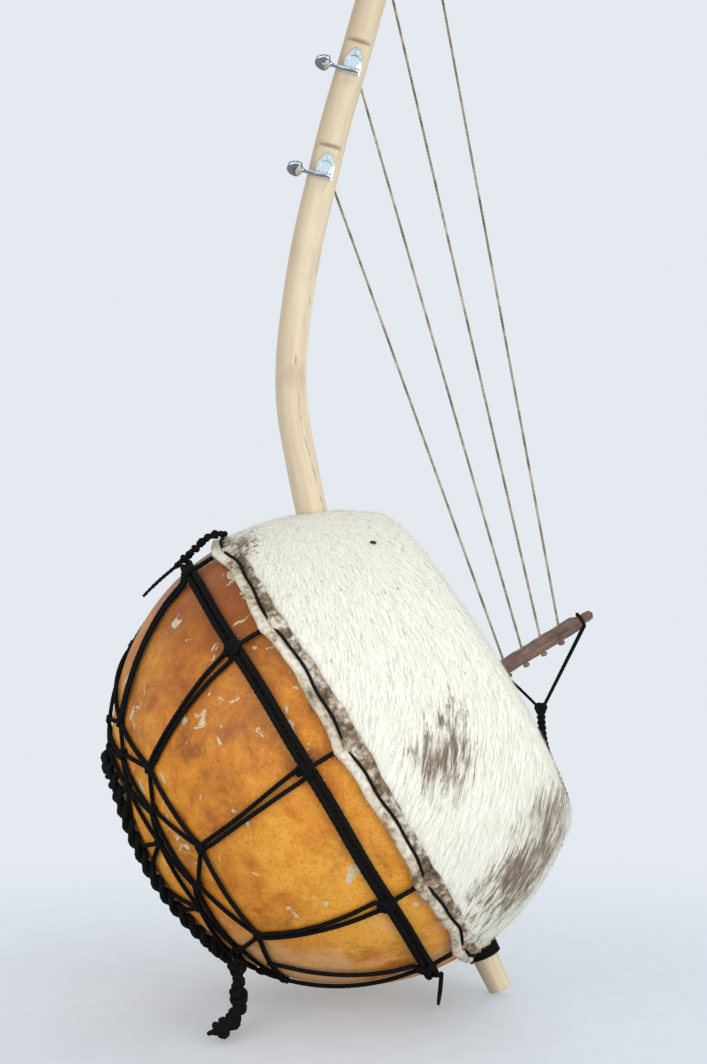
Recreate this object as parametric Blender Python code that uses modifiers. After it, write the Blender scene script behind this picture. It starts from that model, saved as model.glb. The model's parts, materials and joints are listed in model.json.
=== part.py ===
"""Bolon: a four-string harp-lute with a gourd resonator, a laced hide head and guitar tuners.

Metres, +Z up. The origin is the centre of the tail spike's end face. Neck, bridge and strings stand in
the plane y = 0. The tuner plates face -Y, and their posts come out of the neck's other side.
"""

import math

import bmesh
import bpy
import numpy as np
from mathutils import Matrix, Vector

MM = 0.001
FIT = 0.3 * MM  # gap between pieces that touch
COIL_GAP = 0.6 * MM  # gap between neighbouring turns of a winding
LACES = 10  # lacing cords round the gourd
TURN_STEPS = 4 * LACES  # facets of the large turned pieces, so that cords lie along them

# Gourd: its axis runs from the back pole to the face
GOURD_CENTRE = Vector((-162 * MM, 0, 241 * MM))
FACE_TILT = math.radians(59)  # angle of the axis from the vertical
GOURD_RADIUS = 235 * MM
GOURD_FRONT = 235 * MM  # half length of the bowl's curve in front of its widest ring
GOURD_BACK = 222 * MM  # half length behind it
GOURD_WALL = 9 * MM
MOUTH_HEIGHT = 152 * MM  # mouth plane in front of the widest ring

# Hide head, with its hem rolled over a ring
HIDE_THICK = 2 * MM
FACE_RISE = 23 * MM  # middle of the face in front of the gourd's mouth
FACE_CROWN = 12 * MM
FACE_INSET = 16.2 * MM  # from the mouth's edge in to where the face turns down
MOUTH_GAP = 1.5 * MM  # of the hide round the mouth's edge
SHOULDER_DROP = 15 * MM  # behind the mouth, where the hide comes to lie on the gourd
HEM_HEIGHT = -8 * MM  # middle of the rolled hem
FLESH_RING_RADIUS = 2.2 * MM
FOLD_GAP = 0.8 * MM  # play of the ring in the folded hem
FOLD_ANGLES = (-140, 168, 116, 64, 12)  # facets of the fold round the ring, in degrees
FLAP_LENGTH = 19 * MM
GIRDLE_RADIUS = 1.5 * MM
TACK_DROP = 28 * MM  # behind the mouth
TACK_ANGLE = math.radians(55)
TACK_HEAD_RADIUS = 2.4 * MM
TACK_HEAD_HEIGHT = 1.5 * MM
TACK_HEAD_GAP = 0.5 * MM  # under the head
TACK_PIN_RADIUS = 0.8 * MM
TACK_PIN_LENGTH = 9 * MM

# Lacing
ROPE_RADIUS = 3 * MM
ROPE_BEND = 0.1 * MM  # extra height that keeps a cord's straight facets off the gourd's
HOOP_HEIGHT = -36 * MM
HOOP_TURNS = 2
HOOP_START = math.radians(81)
HOOP_POINTS = TURN_STEPS
STAY_HEIGHT = -97 * MM  # halfway between the hoop and the net
ROW_A_HEIGHT = -150 * MM
ROW_B_HEIGHT = -176 * MM
ROW_C_HEIGHT = -195 * MM
STAY_SPREAD = 5.2 * MM  # half distance of a stay's two strands at the hoop
STAY_MEET = 3.6 * MM  # and at the net
TIE_SPREAD = 3.5 * MM  # and at the hem
BACK_RING_RADIUS = 96 * MM
BACK_RING_THICK = 8.5 * MM

# Neck: x, z and diameter along its middle, from the spike's end to the top
NECK_KNOTS = (
    (0, 0, 23.5),
    (-21.5, 45, 27.5),
    (-46, 92, 29),
    (-94, 188, 30),
    (-166, 388, 31),
    (-200, 528, 31.5),
    (-210, 608, 31.5),
    (-201, 708, 31),
    (-169.5, 848, 31),
    (-115.5, 1038, 30.5),
    (-65, 1193, 30),
)
NECK_STEP = 55 * MM  # length of a facet along the neck
HOLE_GAP = 0.4 * MM  # play of the neck in its holes
HOLE_OVERSHOOT = 20 * MM
BINDING_SET_BACK = 20 * MM  # of the binding's start from where the spike leaves the gourd
BINDING_ROOM = 40 * MM  # length of the hide's cut below the binding
BINDING_TURNS = 3
BINDING_RADIUS = 2 * MM
BINDING_POINTS = 16

# Bridge, in the gourd's frame: x runs down the face, z off it
BRIDGE_SHIFT = 16 * MM
BRIDGE_LENGTH = 112 * MM
BRIDGE_THICK = 16 * MM
BRIDGE_WIDTH = 18 * MM
BRIDGE_TIP_LENGTH = 19 * MM
BRIDGE_TIP_THICK = 9.6 * MM
BRIDGE_EDGE = 2.2 * MM
FIRST_STRING = 9 * MM  # height of the lowest string hole above the face
STRING_PITCH = 21.4 * MM
STRAP_RADIUS = 2.2 * MM
STRAP_SPREAD = math.radians(28)  # where its two strands leave the bridge's tip
STRAP_LOOP_RISE = 3 * MM  # of the strap's loop above the bridge's shoulder
STRAP_WRAP_RADIUS = 4.6 * MM
STRAP_KNOT_RADIUS = 7 * MM
STRAP_KNOT_SHIFT = 71 * MM
STRAP_KNOT_RISE = 18 * MM  # above the face's middle
STRAP_FOOT_SIDE = 7 * MM  # its lower strand lies beside the first string
STRAP_LANDING = 115 * MM  # where its wrap comes to lie on the face
STRAP_END_HEIGHT = 42 * MM

# Strings
STRINGS = 4
STRING_RADIUS = 1.4 * MM
STRING_HOLE_GAP = 0.6 * MM
KNOT_RADIUS = 3.6 * MM
WINDING_TURNS = 3
WINDING_POINTS = 8

# Tuners: each lies in a flat cut into the neck, x to the right, z up along the neck
FIRST_TUNER = 859.5 * MM  # along the neck from the spike's end
TUNER_PITCH = 108 * MM
FLAT_DEPTH = 11.6 * MM  # of the flat from the neck's middle
FLAT_RISE = 23 * MM  # length of the flat above the post
FLAT_DROP = 15 * MM  # and below it
FLAT_RAMP = 14 * MM
PLATE_WIDTH = 17.6 * MM
PLATE_DROP = 11 * MM
PLATE_SHOULDER = 5 * MM
PLATE_THICK = 1.6 * MM
TAB_WIDTH = 8 * MM
TAB_HEIGHT = 12.4 * MM  # of the screw above the post
DRUM_RADIUS = 7.4 * MM
DRUM_HEIGHT = 7.2 * MM
DRUM_ROOT = 1 * MM  # depth of the drum's foot in the plate
CAP_RADIUS = 7 * MM
CAP_THICK = 1.3 * MM
CAP_PROFILE = ((0, 1), (0.7, 0.9), (1, 0.4), (1, 0), (0, 0))  # shares of its radius and thickness
GEAR_TEETH = 15
GEAR_TIP_RADIUS = 5.35 * MM
GEAR_ROOT_RADIUS = 4.2 * MM
GEAR_THICK = 2.6 * MM
GEAR_MESH_RADIUS = 5.1 * MM
GEAR_PLAY = 0.5 * MM
TOOTH_TIP_SHARE = 0.11  # half width of a tooth's tip in its pitch
WORM_CORE_RADIUS = 1.7 * MM
WORM_TIP_RADIUS = 2.5 * MM
WORM_MESH = 0.45 * MM  # depth of the thread in the gear
WORM_THREAD_RADIUS = 0.42 * MM
WORM_TURNS = 2
WORM_POINTS = 8
BARREL_WALL = 0.6 * MM
BARREL_LENGTH = 19 * MM  # of the shaft's sleeve from the post's axis
BARREL_BACK = 7.5 * MM
SHAFT_RADIUS = 1.4 * MM
SHAFT_PLAY = 0.35 * MM
COLLAR_RADIUS = 2.4 * MM
COLLAR_LENGTH = 1.6 * MM
BUTTON_LENGTH = 14 * MM
BUTTON_WIDTH = 18 * MM
BUTTON_THICK = 6.4 * MM
BUTTON_NECK_SHARE = 0.35  # of its width at the collar
BUTTON_FLAT_SHARE = 0.28  # of its length before its round end
BUTTON_SWEEP = math.radians(80)  # half angle of the round end
SHAFT_IN_BUTTON = 9 * MM
POST_RADIUS = 3 * MM
POST_SEAT_RADIUS = 2.2 * MM
POST_HEAD_RADIUS = 4.2 * MM
POST_HEAD_LENGTH = 2 * MM
POST_PLAY = 0.35 * MM
BUSHING_SEAT = 12.6 * MM  # flat on the neck's far side, from its middle
BUSHING_SEAT_GAP = 1 * MM  # round the flange
BUSHING_SLEEVE_RADIUS = 4.1 * MM
BUSHING_SLEEVE_LENGTH = 7 * MM
BUSHING_FLANGE_RADIUS = 6.2 * MM
BUSHING_FLANGE_THICK = 2.2 * MM
SCREW_RADIUS = 1.1 * MM
SCREW_LENGTH = 7 * MM
SCREW_POINT = 1 * MM
SCREW_HEAD_RADIUS = 2.3 * MM
SCREW_HEAD_HEIGHT = 1.2 * MM
SCREW_CROWN = (0.7, 0.8)  # shares of the head's radius and height at its edge

# Free cords: height, angle and lift where each leaves the gourd, in millimetres and degrees, then
# x, y and z from there along its middle
TAIL_CHAIN_RADIUS = 8.5 * MM
TAIL_CHAIN_START = (-177.3, -54.3, 9.1)
TAIL_CHAIN_FALL = (
    (0, 0, 0),
    (-4.1, -15.4, -17.7),
    (-11.1, -34.4, -34.2),
    (-21.1, -57.4, -40.2),
    (-32.1, -80.4, -40.2),
    (-40.1, -100.4, -40.2),
)
LOOSE_END_RADIUS = 2.5 * MM
LOOSE_END_START = (-27.8, -78.2, 5.6)
LOOSE_END_FALL = ((0, 0, 0), (-1.5, -4.5, -12), (-4.5, -10, -28.5))
TOP_CHAIN_STEP = 8 * MM
# Chain at the top: height on the gourd, angle in degrees, lift and radius in millimetres
TOP_CHAIN_ROUTE = (
    (13, 81, 10.4, 5),
    (4, 82, 14.6, 5),
    (-6, 83, 15.6, 5),
    (-17, 83, 13.4, 5),
    (-28, 82, 12.6, 5),
    (-38, 81, 13, 4.6),
    (-46, 80.5, 13.6, 2.6),
    (-60, 80, 15.4, 2.3),
    (-80, 79.5, 18, 2),
)

parts = None
cutters = None


def clear_scene():
    for obj in list(bpy.data.objects):
        bpy.data.objects.remove(obj, do_unlink=True)


def collection(name, hidden=False):
    made = bpy.data.collections.new(name)
    made.hide_render = hidden
    bpy.context.scene.collection.children.link(made)
    return made


def material(name, colour, roughness, metallic=0.0):
    made = bpy.data.materials.new(name)
    made.use_nodes = True
    shader = made.node_tree.nodes["Principled BSDF"]
    shader.inputs["Base Color"].default_value = (*colour, 1)
    shader.inputs["Roughness"].default_value = roughness
    shader.inputs["Metallic"].default_value = metallic
    return made


def add_object(name, data, finish=None, parent=None, place=None, cutter=False):
    """A new object in the parts, or a hidden helper in the cutters."""
    obj = bpy.data.objects.new(name, data)
    (cutters if cutter else parts).objects.link(obj)
    if cutter:
        obj.hide_render = True
        obj.display_type = "WIRE"
    if finish:
        data.materials.append(finish)
    obj.parent = parent
    obj.matrix_basis = place or Matrix()
    return obj


def add_empty(name, place, parent=None):
    obj = bpy.data.objects.new(name, None)
    obj.empty_display_size = 0.02
    parts.objects.link(obj)
    obj.parent = parent
    obj.matrix_basis = place
    return obj


def shade(obj, angle=40):
    obj.data.shade_smooth()
    obj.data.set_sharp_from_angle(angle=math.radians(angle))


def cut(target, tool):
    modifier = target.modifiers.new("cut " + tool.name, "BOOLEAN")
    modifier.operation = "DIFFERENCE"
    modifier.object = tool


def join(target, tool):
    modifier = target.modifiers.new("join " + tool.name, "BOOLEAN")
    modifier.operation = "UNION"
    modifier.object = tool


def bevel(obj, width, segments=2, angle=40):
    modifier = obj.modifiers.new("edges", "BEVEL")
    modifier.width = width
    modifier.segments = segments
    modifier.limit_method = "ANGLE"
    modifier.angle_limit = math.radians(angle)


def cylinder_mesh(name, radius, start, end, axis="Z", sides=16, end_radius=None):
    """A closed cylinder or cone along one axis, from start to end."""
    mesh = bpy.data.meshes.new(name)
    work = bmesh.new()
    far_radius = radius if end_radius is None else end_radius
    bmesh.ops.create_cone(
        work, cap_ends=True, segments=sides, radius1=radius, radius2=far_radius, depth=abs(end - start)
    )
    bmesh.ops.translate(work, verts=work.verts, vec=(0, 0, (start + end) / 2))
    turns = {"X": Matrix.Rotation(math.pi / 2, 3, "Y"), "Y": Matrix.Rotation(-math.pi / 2, 3, "X")}
    if axis in turns:
        bmesh.ops.rotate(work, verts=work.verts, matrix=turns[axis])
    work.to_mesh(mesh)
    work.free()
    return mesh


def ball_mesh(name, radius, sides=8):
    mesh = bpy.data.meshes.new(name)
    work = bmesh.new()
    bmesh.ops.create_uvsphere(work, u_segments=sides, v_segments=sides // 2, radius=radius)
    work.to_mesh(mesh)
    work.free()
    return mesh


def ring_mesh(name, radius, thick, sides):
    bpy.ops.mesh.primitive_torus_add(
        major_radius=radius, minor_radius=thick, major_segments=TURN_STEPS, minor_segments=sides
    )
    made = bpy.context.object
    mesh = made.data
    mesh.name = name
    bpy.data.objects.remove(made)
    return mesh


def turned(obj_name, profile, finish, steps, parent=None, place=None, cutter=False):
    """A profile of (radius, height) turned about Z: it runs down its outer side first."""
    mesh = bpy.data.meshes.new(obj_name)
    points = [(radius, 0, height) for radius, height in profile]
    closed = profile[0][0] > 0
    edges = [(i, i + 1) for i in range(len(points) - 1)]
    if closed:
        edges.append((len(points) - 1, 0))
    mesh.from_pydata(points, edges, [])
    obj = add_object(obj_name, mesh, finish, parent, place, cutter)
    screw = obj.modifiers.new("turn", "SCREW")
    screw.steps = steps
    screw.render_steps = steps
    screw.use_merge_vertices = True
    screw.merge_threshold = 0.00001
    return obj


def plate_mesh(name, outline, thick):
    """A flat outline in x and z, thick along y and centred on y = 0."""
    curve = bpy.data.curves.new(name, "CURVE")
    curve.dimensions = "2D"
    curve.fill_mode = "BOTH"
    curve.extrude = thick / 2
    spline = curve.splines.new("POLY")
    spline.points.add(len(outline) - 1)
    for point, (x, z) in zip(spline.points, outline):
        point.co = (x, z, 0, 1)
    spline.use_cyclic_u = True
    mesh = mesh_of_curve(curve)
    work = bmesh.new()
    work.from_mesh(mesh)
    bmesh.ops.dissolve_limit(work, angle_limit=math.radians(0.1), verts=work.verts, edges=work.edges)
    work.to_mesh(mesh)
    work.free()
    mesh.transform(Matrix.Rotation(math.pi / 2, 4, "X"))
    return mesh


def tube_curve(name, points, radius, closed=False, resolution=1, scales=None):
    curve = bpy.data.curves.new(name, "CURVE")
    curve.dimensions = "3D"
    curve.bevel_depth = radius
    curve.bevel_resolution = resolution
    curve.use_fill_caps = True
    spline = curve.splines.new("POLY")
    spline.points.add(len(points) - 1)
    for index, (point, place) in enumerate(zip(spline.points, points)):
        point.co = (*place, 1)
        point.radius = scales[index] if scales else 1.0
    spline.use_cyclic_u = closed
    return curve


def mesh_of_curve(curve):
    """The curve as a closed mesh, its caps welded on."""
    helper = bpy.data.objects.new(curve.name, curve)
    bpy.context.scene.collection.objects.link(helper)
    bpy.context.view_layer.update()
    graph = bpy.context.evaluated_depsgraph_get()
    mesh = bpy.data.meshes.new_from_object(helper.evaluated_get(graph))
    bpy.data.objects.remove(helper)
    mesh.name = curve.name
    work = bmesh.new()
    work.from_mesh(mesh)
    bmesh.ops.remove_doubles(work, verts=work.verts, dist=0.000001)
    bmesh.ops.recalc_face_normals(work, faces=work.faces)
    work.to_mesh(mesh)
    work.free()
    return mesh


def tube_mesh(name, points, radius, **options):
    return mesh_of_curve(tube_curve(name, points, radius, **options))


def smooth_route(knots, step):
    """Points about a step apart on a smooth curve through the knots, any number of values each."""
    knots = np.array(knots, float)
    padded = np.vstack([2 * knots[0] - knots[1], knots, 2 * knots[-1] - knots[-2]])
    route = []
    for i in range(1, len(padded) - 2):
        before, here, there, after = padded[i - 1 : i + 3]
        count = max(1, round(float(np.linalg.norm((there - here)[:3])) / step))
        for t in np.arange(count) / count:
            route.append(
                here
                + 0.5 * t * (there - before)
                + t * t * (before - 2.5 * here + 2 * there - 0.5 * after)
                + t**3 * (1.5 * (here - there) + 0.5 * (after - before))
            )
    route.append(knots[-1])
    return np.array(route)


def print_least_gap(name, points, radius, points_per_turn):
    """The least gap between turns, measured on points that lie more than half a turn apart."""
    points = np.array([tuple(point) for point in points])
    apart = np.linalg.norm(points[:, None] - points[None], axis=2)
    far = np.abs(np.subtract.outer(np.arange(len(points)), np.arange(len(points)))) > points_per_turn / 2
    if far.any():
        print(f"{name}: least gap to itself {(apart[far].min() - 2 * radius) / MM:.2f} mm")


def gourd_half(height):
    return GOURD_FRONT if height > 0 else GOURD_BACK


def gourd_radius(height):
    return GOURD_RADIUS * math.sqrt(max(0.0, 1 - (height / gourd_half(height)) ** 2))


def gourd_point(height, lift=0.0):
    """Radius and height of a point that stands off the gourd's outside by lift."""
    radius = gourd_radius(height)
    across = radius / GOURD_RADIUS**2
    along = height / gourd_half(height) ** 2
    size = math.hypot(across, along)
    return radius + lift * across / size, height + lift * along / size


def on_gourd(height, angle, lift):
    """A point on the gourd: angle 0 faces the viewer's side, -Y, and 90 degrees the top."""
    radius, z = gourd_point(height, lift)
    return Vector((-radius * math.sin(angle), -radius * math.cos(angle), z))


def gourd_place():
    """Frame of the gourd: z along its axis to the face, x down the face."""
    return Matrix.Translation(GOURD_CENTRE) @ Matrix.Rotation(FACE_TILT, 4, "Y")


def face_height():
    """Middle of the hide's thickness at the middle of the face."""
    return MOUTH_HEIGHT + FACE_RISE


def face_radius():
    return gourd_radius(MOUTH_HEIGHT) - FACE_INSET


def side_heights():
    """Heights of the facets where the hide lies on the gourd, shared by both."""
    return list(np.linspace(MOUTH_HEIGHT - SHOULDER_DROP, HEM_HEIGHT, 4))


def back_ring_height():
    return -GOURD_BACK * math.sqrt(1 - (BACK_RING_RADIUS / GOURD_RADIUS) ** 2)


def back_heights():
    """Heights of the gourd's facets behind the hem, at the cords that lie on them."""
    between = (ROW_A_HEIGHT + ROW_B_HEIGHT) / 2
    rows = [HOOP_HEIGHT, STAY_HEIGHT, ROW_A_HEIGHT, between, ROW_B_HEIGHT, ROW_C_HEIGHT]
    return rows + [back_ring_height(), (back_ring_height() - 2 * GOURD_BACK) / 3]


def gourd_profile():
    outer = [gourd_point(height) for height in [MOUTH_HEIGHT] + side_heights() + back_heights()]
    outer.append((0, -GOURD_BACK))
    inner = []
    inner_front = GOURD_FRONT - GOURD_WALL
    inner_angle = math.acos(MOUTH_HEIGHT / inner_front)
    for angle in np.linspace(math.pi, inner_angle, 5):
        half = inner_front if math.cos(angle) > 0 else GOURD_BACK - GOURD_WALL
        inner.append(((GOURD_RADIUS - GOURD_WALL) * math.sin(angle), half * math.cos(angle)))
    inner[0] = (0, GOURD_WALL - GOURD_BACK)
    return outer + inner


def fold_turn():
    """Radius of the hide's middle where it is folded round the flesh ring."""
    return FLESH_RING_RADIUS + FOLD_GAP + HIDE_THICK / 2


def ring_lift():
    """Height of the flesh ring's middle above the gourd."""
    return FIT + HIDE_THICK / 2 + fold_turn()


def flap_lift():
    """Height of the flap's middle above the gourd, with the hide under it."""
    return 2 * FIT + 1.5 * HIDE_THICK


def face_drop(radius):
    """How far the crowned face falls from its middle out to a radius."""
    return FACE_CROWN * (radius / face_radius()) ** 2


def hide_path():
    """Middle of the hide's thickness: face, shoulder, side, then round the ring and back as a flap."""
    path = []
    for radius in (0.0, 0.6 * face_radius(), face_radius()):
        path.append((radius, face_height() - face_drop(radius)))
    off_mouth = MOUTH_GAP + HIDE_THICK / 2
    mouth = np.array(gourd_point(MOUTH_HEIGHT))
    outside = np.array(gourd_point(MOUTH_HEIGHT, off_mouth))
    path.append((mouth[0], mouth[1] + off_mouth))
    path.append(tuple(outside))
    for height in side_heights():
        path.append(gourd_point(height, FIT + HIDE_THICK / 2))
    middle = np.array(gourd_point(HEM_HEIGHT, ring_lift()))
    for angle in np.radians(FOLD_ANGLES):
        path.append(tuple(middle + fold_turn() * np.array((math.sin(angle), math.cos(angle)))))
    flap_start = HEM_HEIGHT + fold_turn() + HIDE_THICK
    for height in np.linspace(flap_start, HEM_HEIGHT + FLAP_LENGTH, 2):
        path.append(gourd_point(height, flap_lift()))
    return [np.array(point) for point in path]


def offset_path(path, distance):
    """The path moved to its left by a distance."""
    moved = []
    for i, point in enumerate(path):
        before = path[max(i - 1, 0)]
        after = path[min(i + 1, len(path) - 1)]
        way_in = point - before if i else after - point
        way_out = after - point if i < len(path) - 1 else way_in
        way_in = way_in / np.linalg.norm(way_in)
        way_out = way_out / np.linalg.norm(way_out)
        middle = way_in + way_out
        middle = middle / np.linalg.norm(middle)
        side = np.array((-middle[1], middle[0]))
        moved.append(point + side * distance / max(0.5, float(way_in @ middle)))
    return moved


def girdle_height():
    """The girdle lies on the flap, close in front of the rolled hem."""
    return HEM_HEIGHT + fold_turn() + HIDE_THICK / 2 + 2 * FIT + GIRDLE_RADIUS


def girdle_lift():
    return flap_lift() + HIDE_THICK / 2 + FIT + GIRDLE_RADIUS


def build_resonator(bowl, finishes):
    gourd = turned("gourd_bowl", gourd_profile(), finishes["gourd"], TURN_STEPS, bowl)
    path = hide_path()
    outer = offset_path(path, HIDE_THICK / 2)
    inner = offset_path(path, -HIDE_THICK / 2)
    outer[0][0] = 0
    inner[0][0] = 0
    profile = [tuple(point) for point in outer + inner[::-1]]
    hide = turned("hide_head", profile, finishes["hide"], TURN_STEPS, bowl)
    radius, height = gourd_point(HEM_HEIGHT, ring_lift())
    ring = add_object(
        "flesh_ring", ring_mesh("flesh_ring", radius, FLESH_RING_RADIUS, 4), finishes["cord"], bowl,
        Matrix.Translation((0, 0, height)),
    )
    radius, height = gourd_point(girdle_height(), girdle_lift())
    girdle = add_object(
        "girdle_cord", ring_mesh("girdle_cord", radius, GIRDLE_RADIUS, 5), finishes["cord"], bowl,
        Matrix.Translation((0, 0, height)),
    )
    for obj in (gourd, hide, ring, girdle):
        shade_turned(obj)
    build_tack(bowl, gourd, hide, finishes)
    return gourd, hide


def shade_turned(obj):
    for polygon in obj.data.polygons:
        polygon.use_smooth = True
    for modifier in obj.modifiers:
        if modifier.type == "SCREW":
            modifier.use_smooth_shade = True


def build_tack(bowl, gourd, hide, finishes):
    lift = FIT + HIDE_THICK + FIT
    height = MOUTH_HEIGHT - TACK_DROP
    foot = on_gourd(height, TACK_ANGLE, lift)
    out = (on_gourd(height, TACK_ANGLE, 2 * lift) - foot).normalized()
    place = Matrix.Translation(foot) @ out.to_track_quat("Z", "Y").to_matrix().to_4x4()
    top = TACK_HEAD_GAP + TACK_HEAD_HEIGHT
    head = cylinder_mesh(
        "hide_tack", TACK_HEAD_RADIUS, TACK_HEAD_GAP, top, sides=12, end_radius=TACK_HEAD_RADIUS / 2
    )
    tack = add_object("hide_tack", head, finishes["iron"], bowl, place)
    pin = add_object(
        "tack_pin", cylinder_mesh("tack_pin", TACK_PIN_RADIUS, top / 2, -TACK_PIN_LENGTH, sides=8),
        parent=bowl, place=place, cutter=True,
    )
    hole = add_object(
        "tack_hole",
        cylinder_mesh("tack_hole", TACK_PIN_RADIUS + FIT, 2 * top, -TACK_PIN_LENGTH - top, sides=8),
        parent=bowl, place=place, cutter=True,
    )
    join(tack, pin)
    cut(gourd, hole)
    cut(hide, hole)


def rope_lift():
    return ROPE_RADIUS + FIT + ROPE_BEND


def build_hoop(bowl, finishes):
    """Cord wound round the gourd as one spiral of a few turns."""
    pitch = 2 * ROPE_RADIUS + COIL_GAP
    points = []
    for i in range(HOOP_TURNS * HOOP_POINTS):
        turn = i / HOOP_POINTS
        height = HOOP_HEIGHT + pitch * (turn - HOOP_TURNS / 2)
        points.append(on_gourd(height, HOOP_START + 2 * math.pi * turn, rope_lift()))
    print_least_gap("belt_hoop", points, ROPE_RADIUS, HOOP_POINTS)
    add_object("belt_hoop", tube_curve("belt_hoop", points, ROPE_RADIUS), finishes["cord"], bowl)


def lace_angle(index):
    return 2 * math.pi * index / LACES


def surface_run(start, end, count, lift):
    """Points along the gourd between two (height, angle) places, without the last."""
    run = []
    for t in np.arange(count) / count:
        height = start[0] + t * (end[0] - start[0])
        angle = start[1] + t * (end[1] - start[1])
        run.append(on_gourd(height, angle, lift))
    return run


def row_places(height, half_step=False):
    shift = 0.5 if half_step else 0.0
    return [(height, lace_angle(i + shift)) for i in range(LACES)]


def closed_row(places, count):
    points = []
    for here, there in zip(places, places[1:] + [(places[0][0], places[0][1] + 2 * math.pi)]):
        points += surface_run(here, there, count, rope_lift())
    return points


def zigzag(first, second):
    return closed_row([place for pair in zip(first, second) for place in pair], 2)


def lace_strand():
    """Height, lift and half spread along one strand, from the net over the hoop to the hem."""
    half_hoop = HOOP_TURNS * (ROPE_RADIUS + COIL_GAP / 2) + ROPE_RADIUS
    over = rope_lift() + 2 * ROPE_RADIUS + 2 * FIT
    strand = []
    for height in (ROW_A_HEIGHT, STAY_HEIGHT):
        strand.append((height, rope_lift()))
    strand.append((HOOP_HEIGHT - half_hoop, over))
    strand.append((HOOP_HEIGHT + half_hoop, over))
    spreads = np.linspace(STAY_MEET, STAY_SPREAD, len(strand))
    return [(height, lift, spread) for (height, lift), spread in zip(strand, spreads)]


def lace_top():
    """Height where the lacing turns back at the hem."""
    return HEM_HEIGHT - fold_turn() - HIDE_THICK / 2 - ROPE_RADIUS - FIT


def lacing_points():
    """One cord all round: up from the net, over the hoop, round at the hem, down and on to the next."""
    strand = lace_strand() + [(lace_top() - TIE_SPREAD, ring_lift(), TIE_SPREAD)]
    points = []
    for index in range(LACES):
        middle = lace_angle(index)
        up = [on_gourd(h, middle - half / gourd_radius(h), lift) for h, lift, half in strand]
        down = [on_gourd(h, middle + half / gourd_radius(h), lift) for h, lift, half in reversed(strand)]
        points += up + [on_gourd(lace_top(), middle, ring_lift())] + down
        foot = STAY_MEET / gourd_radius(ROW_A_HEIGHT)
        there = (ROW_A_HEIGHT, lace_angle(index + 1) - foot)
        points += surface_run((ROW_A_HEIGHT, middle + foot), there, 4, rope_lift())[1:]
    return points


def build_lacing(bowl, finishes):
    """Lacing and the two zigzags and the ring of the net, each touching the next one."""
    step = 2 * ROPE_RADIUS + COIL_GAP
    below_a = row_places(ROW_A_HEIGHT - step)
    above_b = row_places(ROW_B_HEIGHT + step, half_step=True)
    below_b = row_places(ROW_B_HEIGHT - step, half_step=True)
    row_c = [(ROW_C_HEIGHT, lace_angle(i + 1)) for i in range(LACES)]
    cords = {
        "lacing": lacing_points(),
        "net_outer": zigzag(below_a, above_b),
        "net_ring": closed_row(row_places(ROW_B_HEIGHT, half_step=True), 4),
        "net_inner": zigzag(below_b, row_c),
    }
    for name, points in cords.items():
        add_object(name, tube_curve(name, points, ROPE_RADIUS, closed=True), finishes["cord"], bowl)


def build_back_ring(bowl, finishes):
    radius, z = gourd_point(back_ring_height(), BACK_RING_THICK + FIT)
    mesh = ring_mesh("back_ring", radius, BACK_RING_THICK, 6)
    shade_turned(add_object("back_ring", mesh, finishes["cord"], bowl, Matrix.Translation((0, 0, z))))


def neck_route():
    """Points along the neck's middle, with its diameter as a fourth value."""
    knots = [(x * MM, 0, z * MM, diameter * MM) for x, z, diameter in NECK_KNOTS]
    return smooth_route(knots, NECK_STEP)


def neck_frame(distance):
    """Point, direction and radius of the neck's middle at a distance from the spike's end."""
    route = neck_route()
    places = route[:, :3]
    steps = np.linalg.norm(np.diff(places, axis=0), axis=1)
    along = np.concatenate([[0], np.cumsum(steps)])
    index = int(np.clip(np.searchsorted(along, distance) - 1, 0, len(steps) - 1))
    share = (distance - along[index]) / steps[index]
    point = places[index] + share * (places[index + 1] - places[index])
    first = max(index - 1, 0)
    last = min(index + 2, len(places) - 1)
    way = places[last] - places[first]
    radius = route[index, 3] + share * (route[index + 1, 3] - route[index, 3])
    return Vector(point), Vector(way / np.linalg.norm(way)), radius / 2


def tuner_place(index):
    """Frame of one tuner: origin on the neck's middle, z up along the neck, y to the neck's far side."""
    point, way, _ = neck_frame(FIRST_TUNER + index * TUNER_PITCH)
    return Matrix.Translation(point) @ Matrix.Rotation(math.atan2(way.x, way.z), 4, "Y")


def neck_tube(name, extra, overshoot=0.0):
    route = neck_route()
    points = [Vector(row[:3]) for row in route]
    if overshoot:
        points[0] = points[0] + (points[0] - points[1]).normalized() * overshoot
    depth = max(row[3] for row in route) / 2
    scales = [(row[3] / 2 + extra) / depth for row in route]
    return tube_mesh(name, points, depth, resolution=4, scales=scales)


def build_neck(gourd, hide, finishes):
    neck = add_object("neck", neck_tube("neck", 0.0), finishes["neck"])
    shade(neck, 30)
    hole = add_object("neck_hole", neck_tube("neck_hole", HOLE_GAP, HOLE_OVERSHOOT), cutter=True)
    cut(gourd, hole)
    cut(hide, hole)
    for index in range(STRINGS):
        cut_tuner_seat(neck, index)


def binding_length():
    return BINDING_TURNS * (2 * BINDING_RADIUS + COIL_GAP)


def binding_start():
    """Distance from the spike's end, set back from where the neck's middle leaves the gourd."""
    into_gourd = gourd_place().inverted()
    distance = 0.0
    inside = False
    while not inside:
        distance += FIT
        place = into_gourd @ neck_frame(distance)[0]
        inside = math.hypot(place.x, place.y) < gourd_radius(place.z)
    return distance - BINDING_SET_BACK


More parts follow.
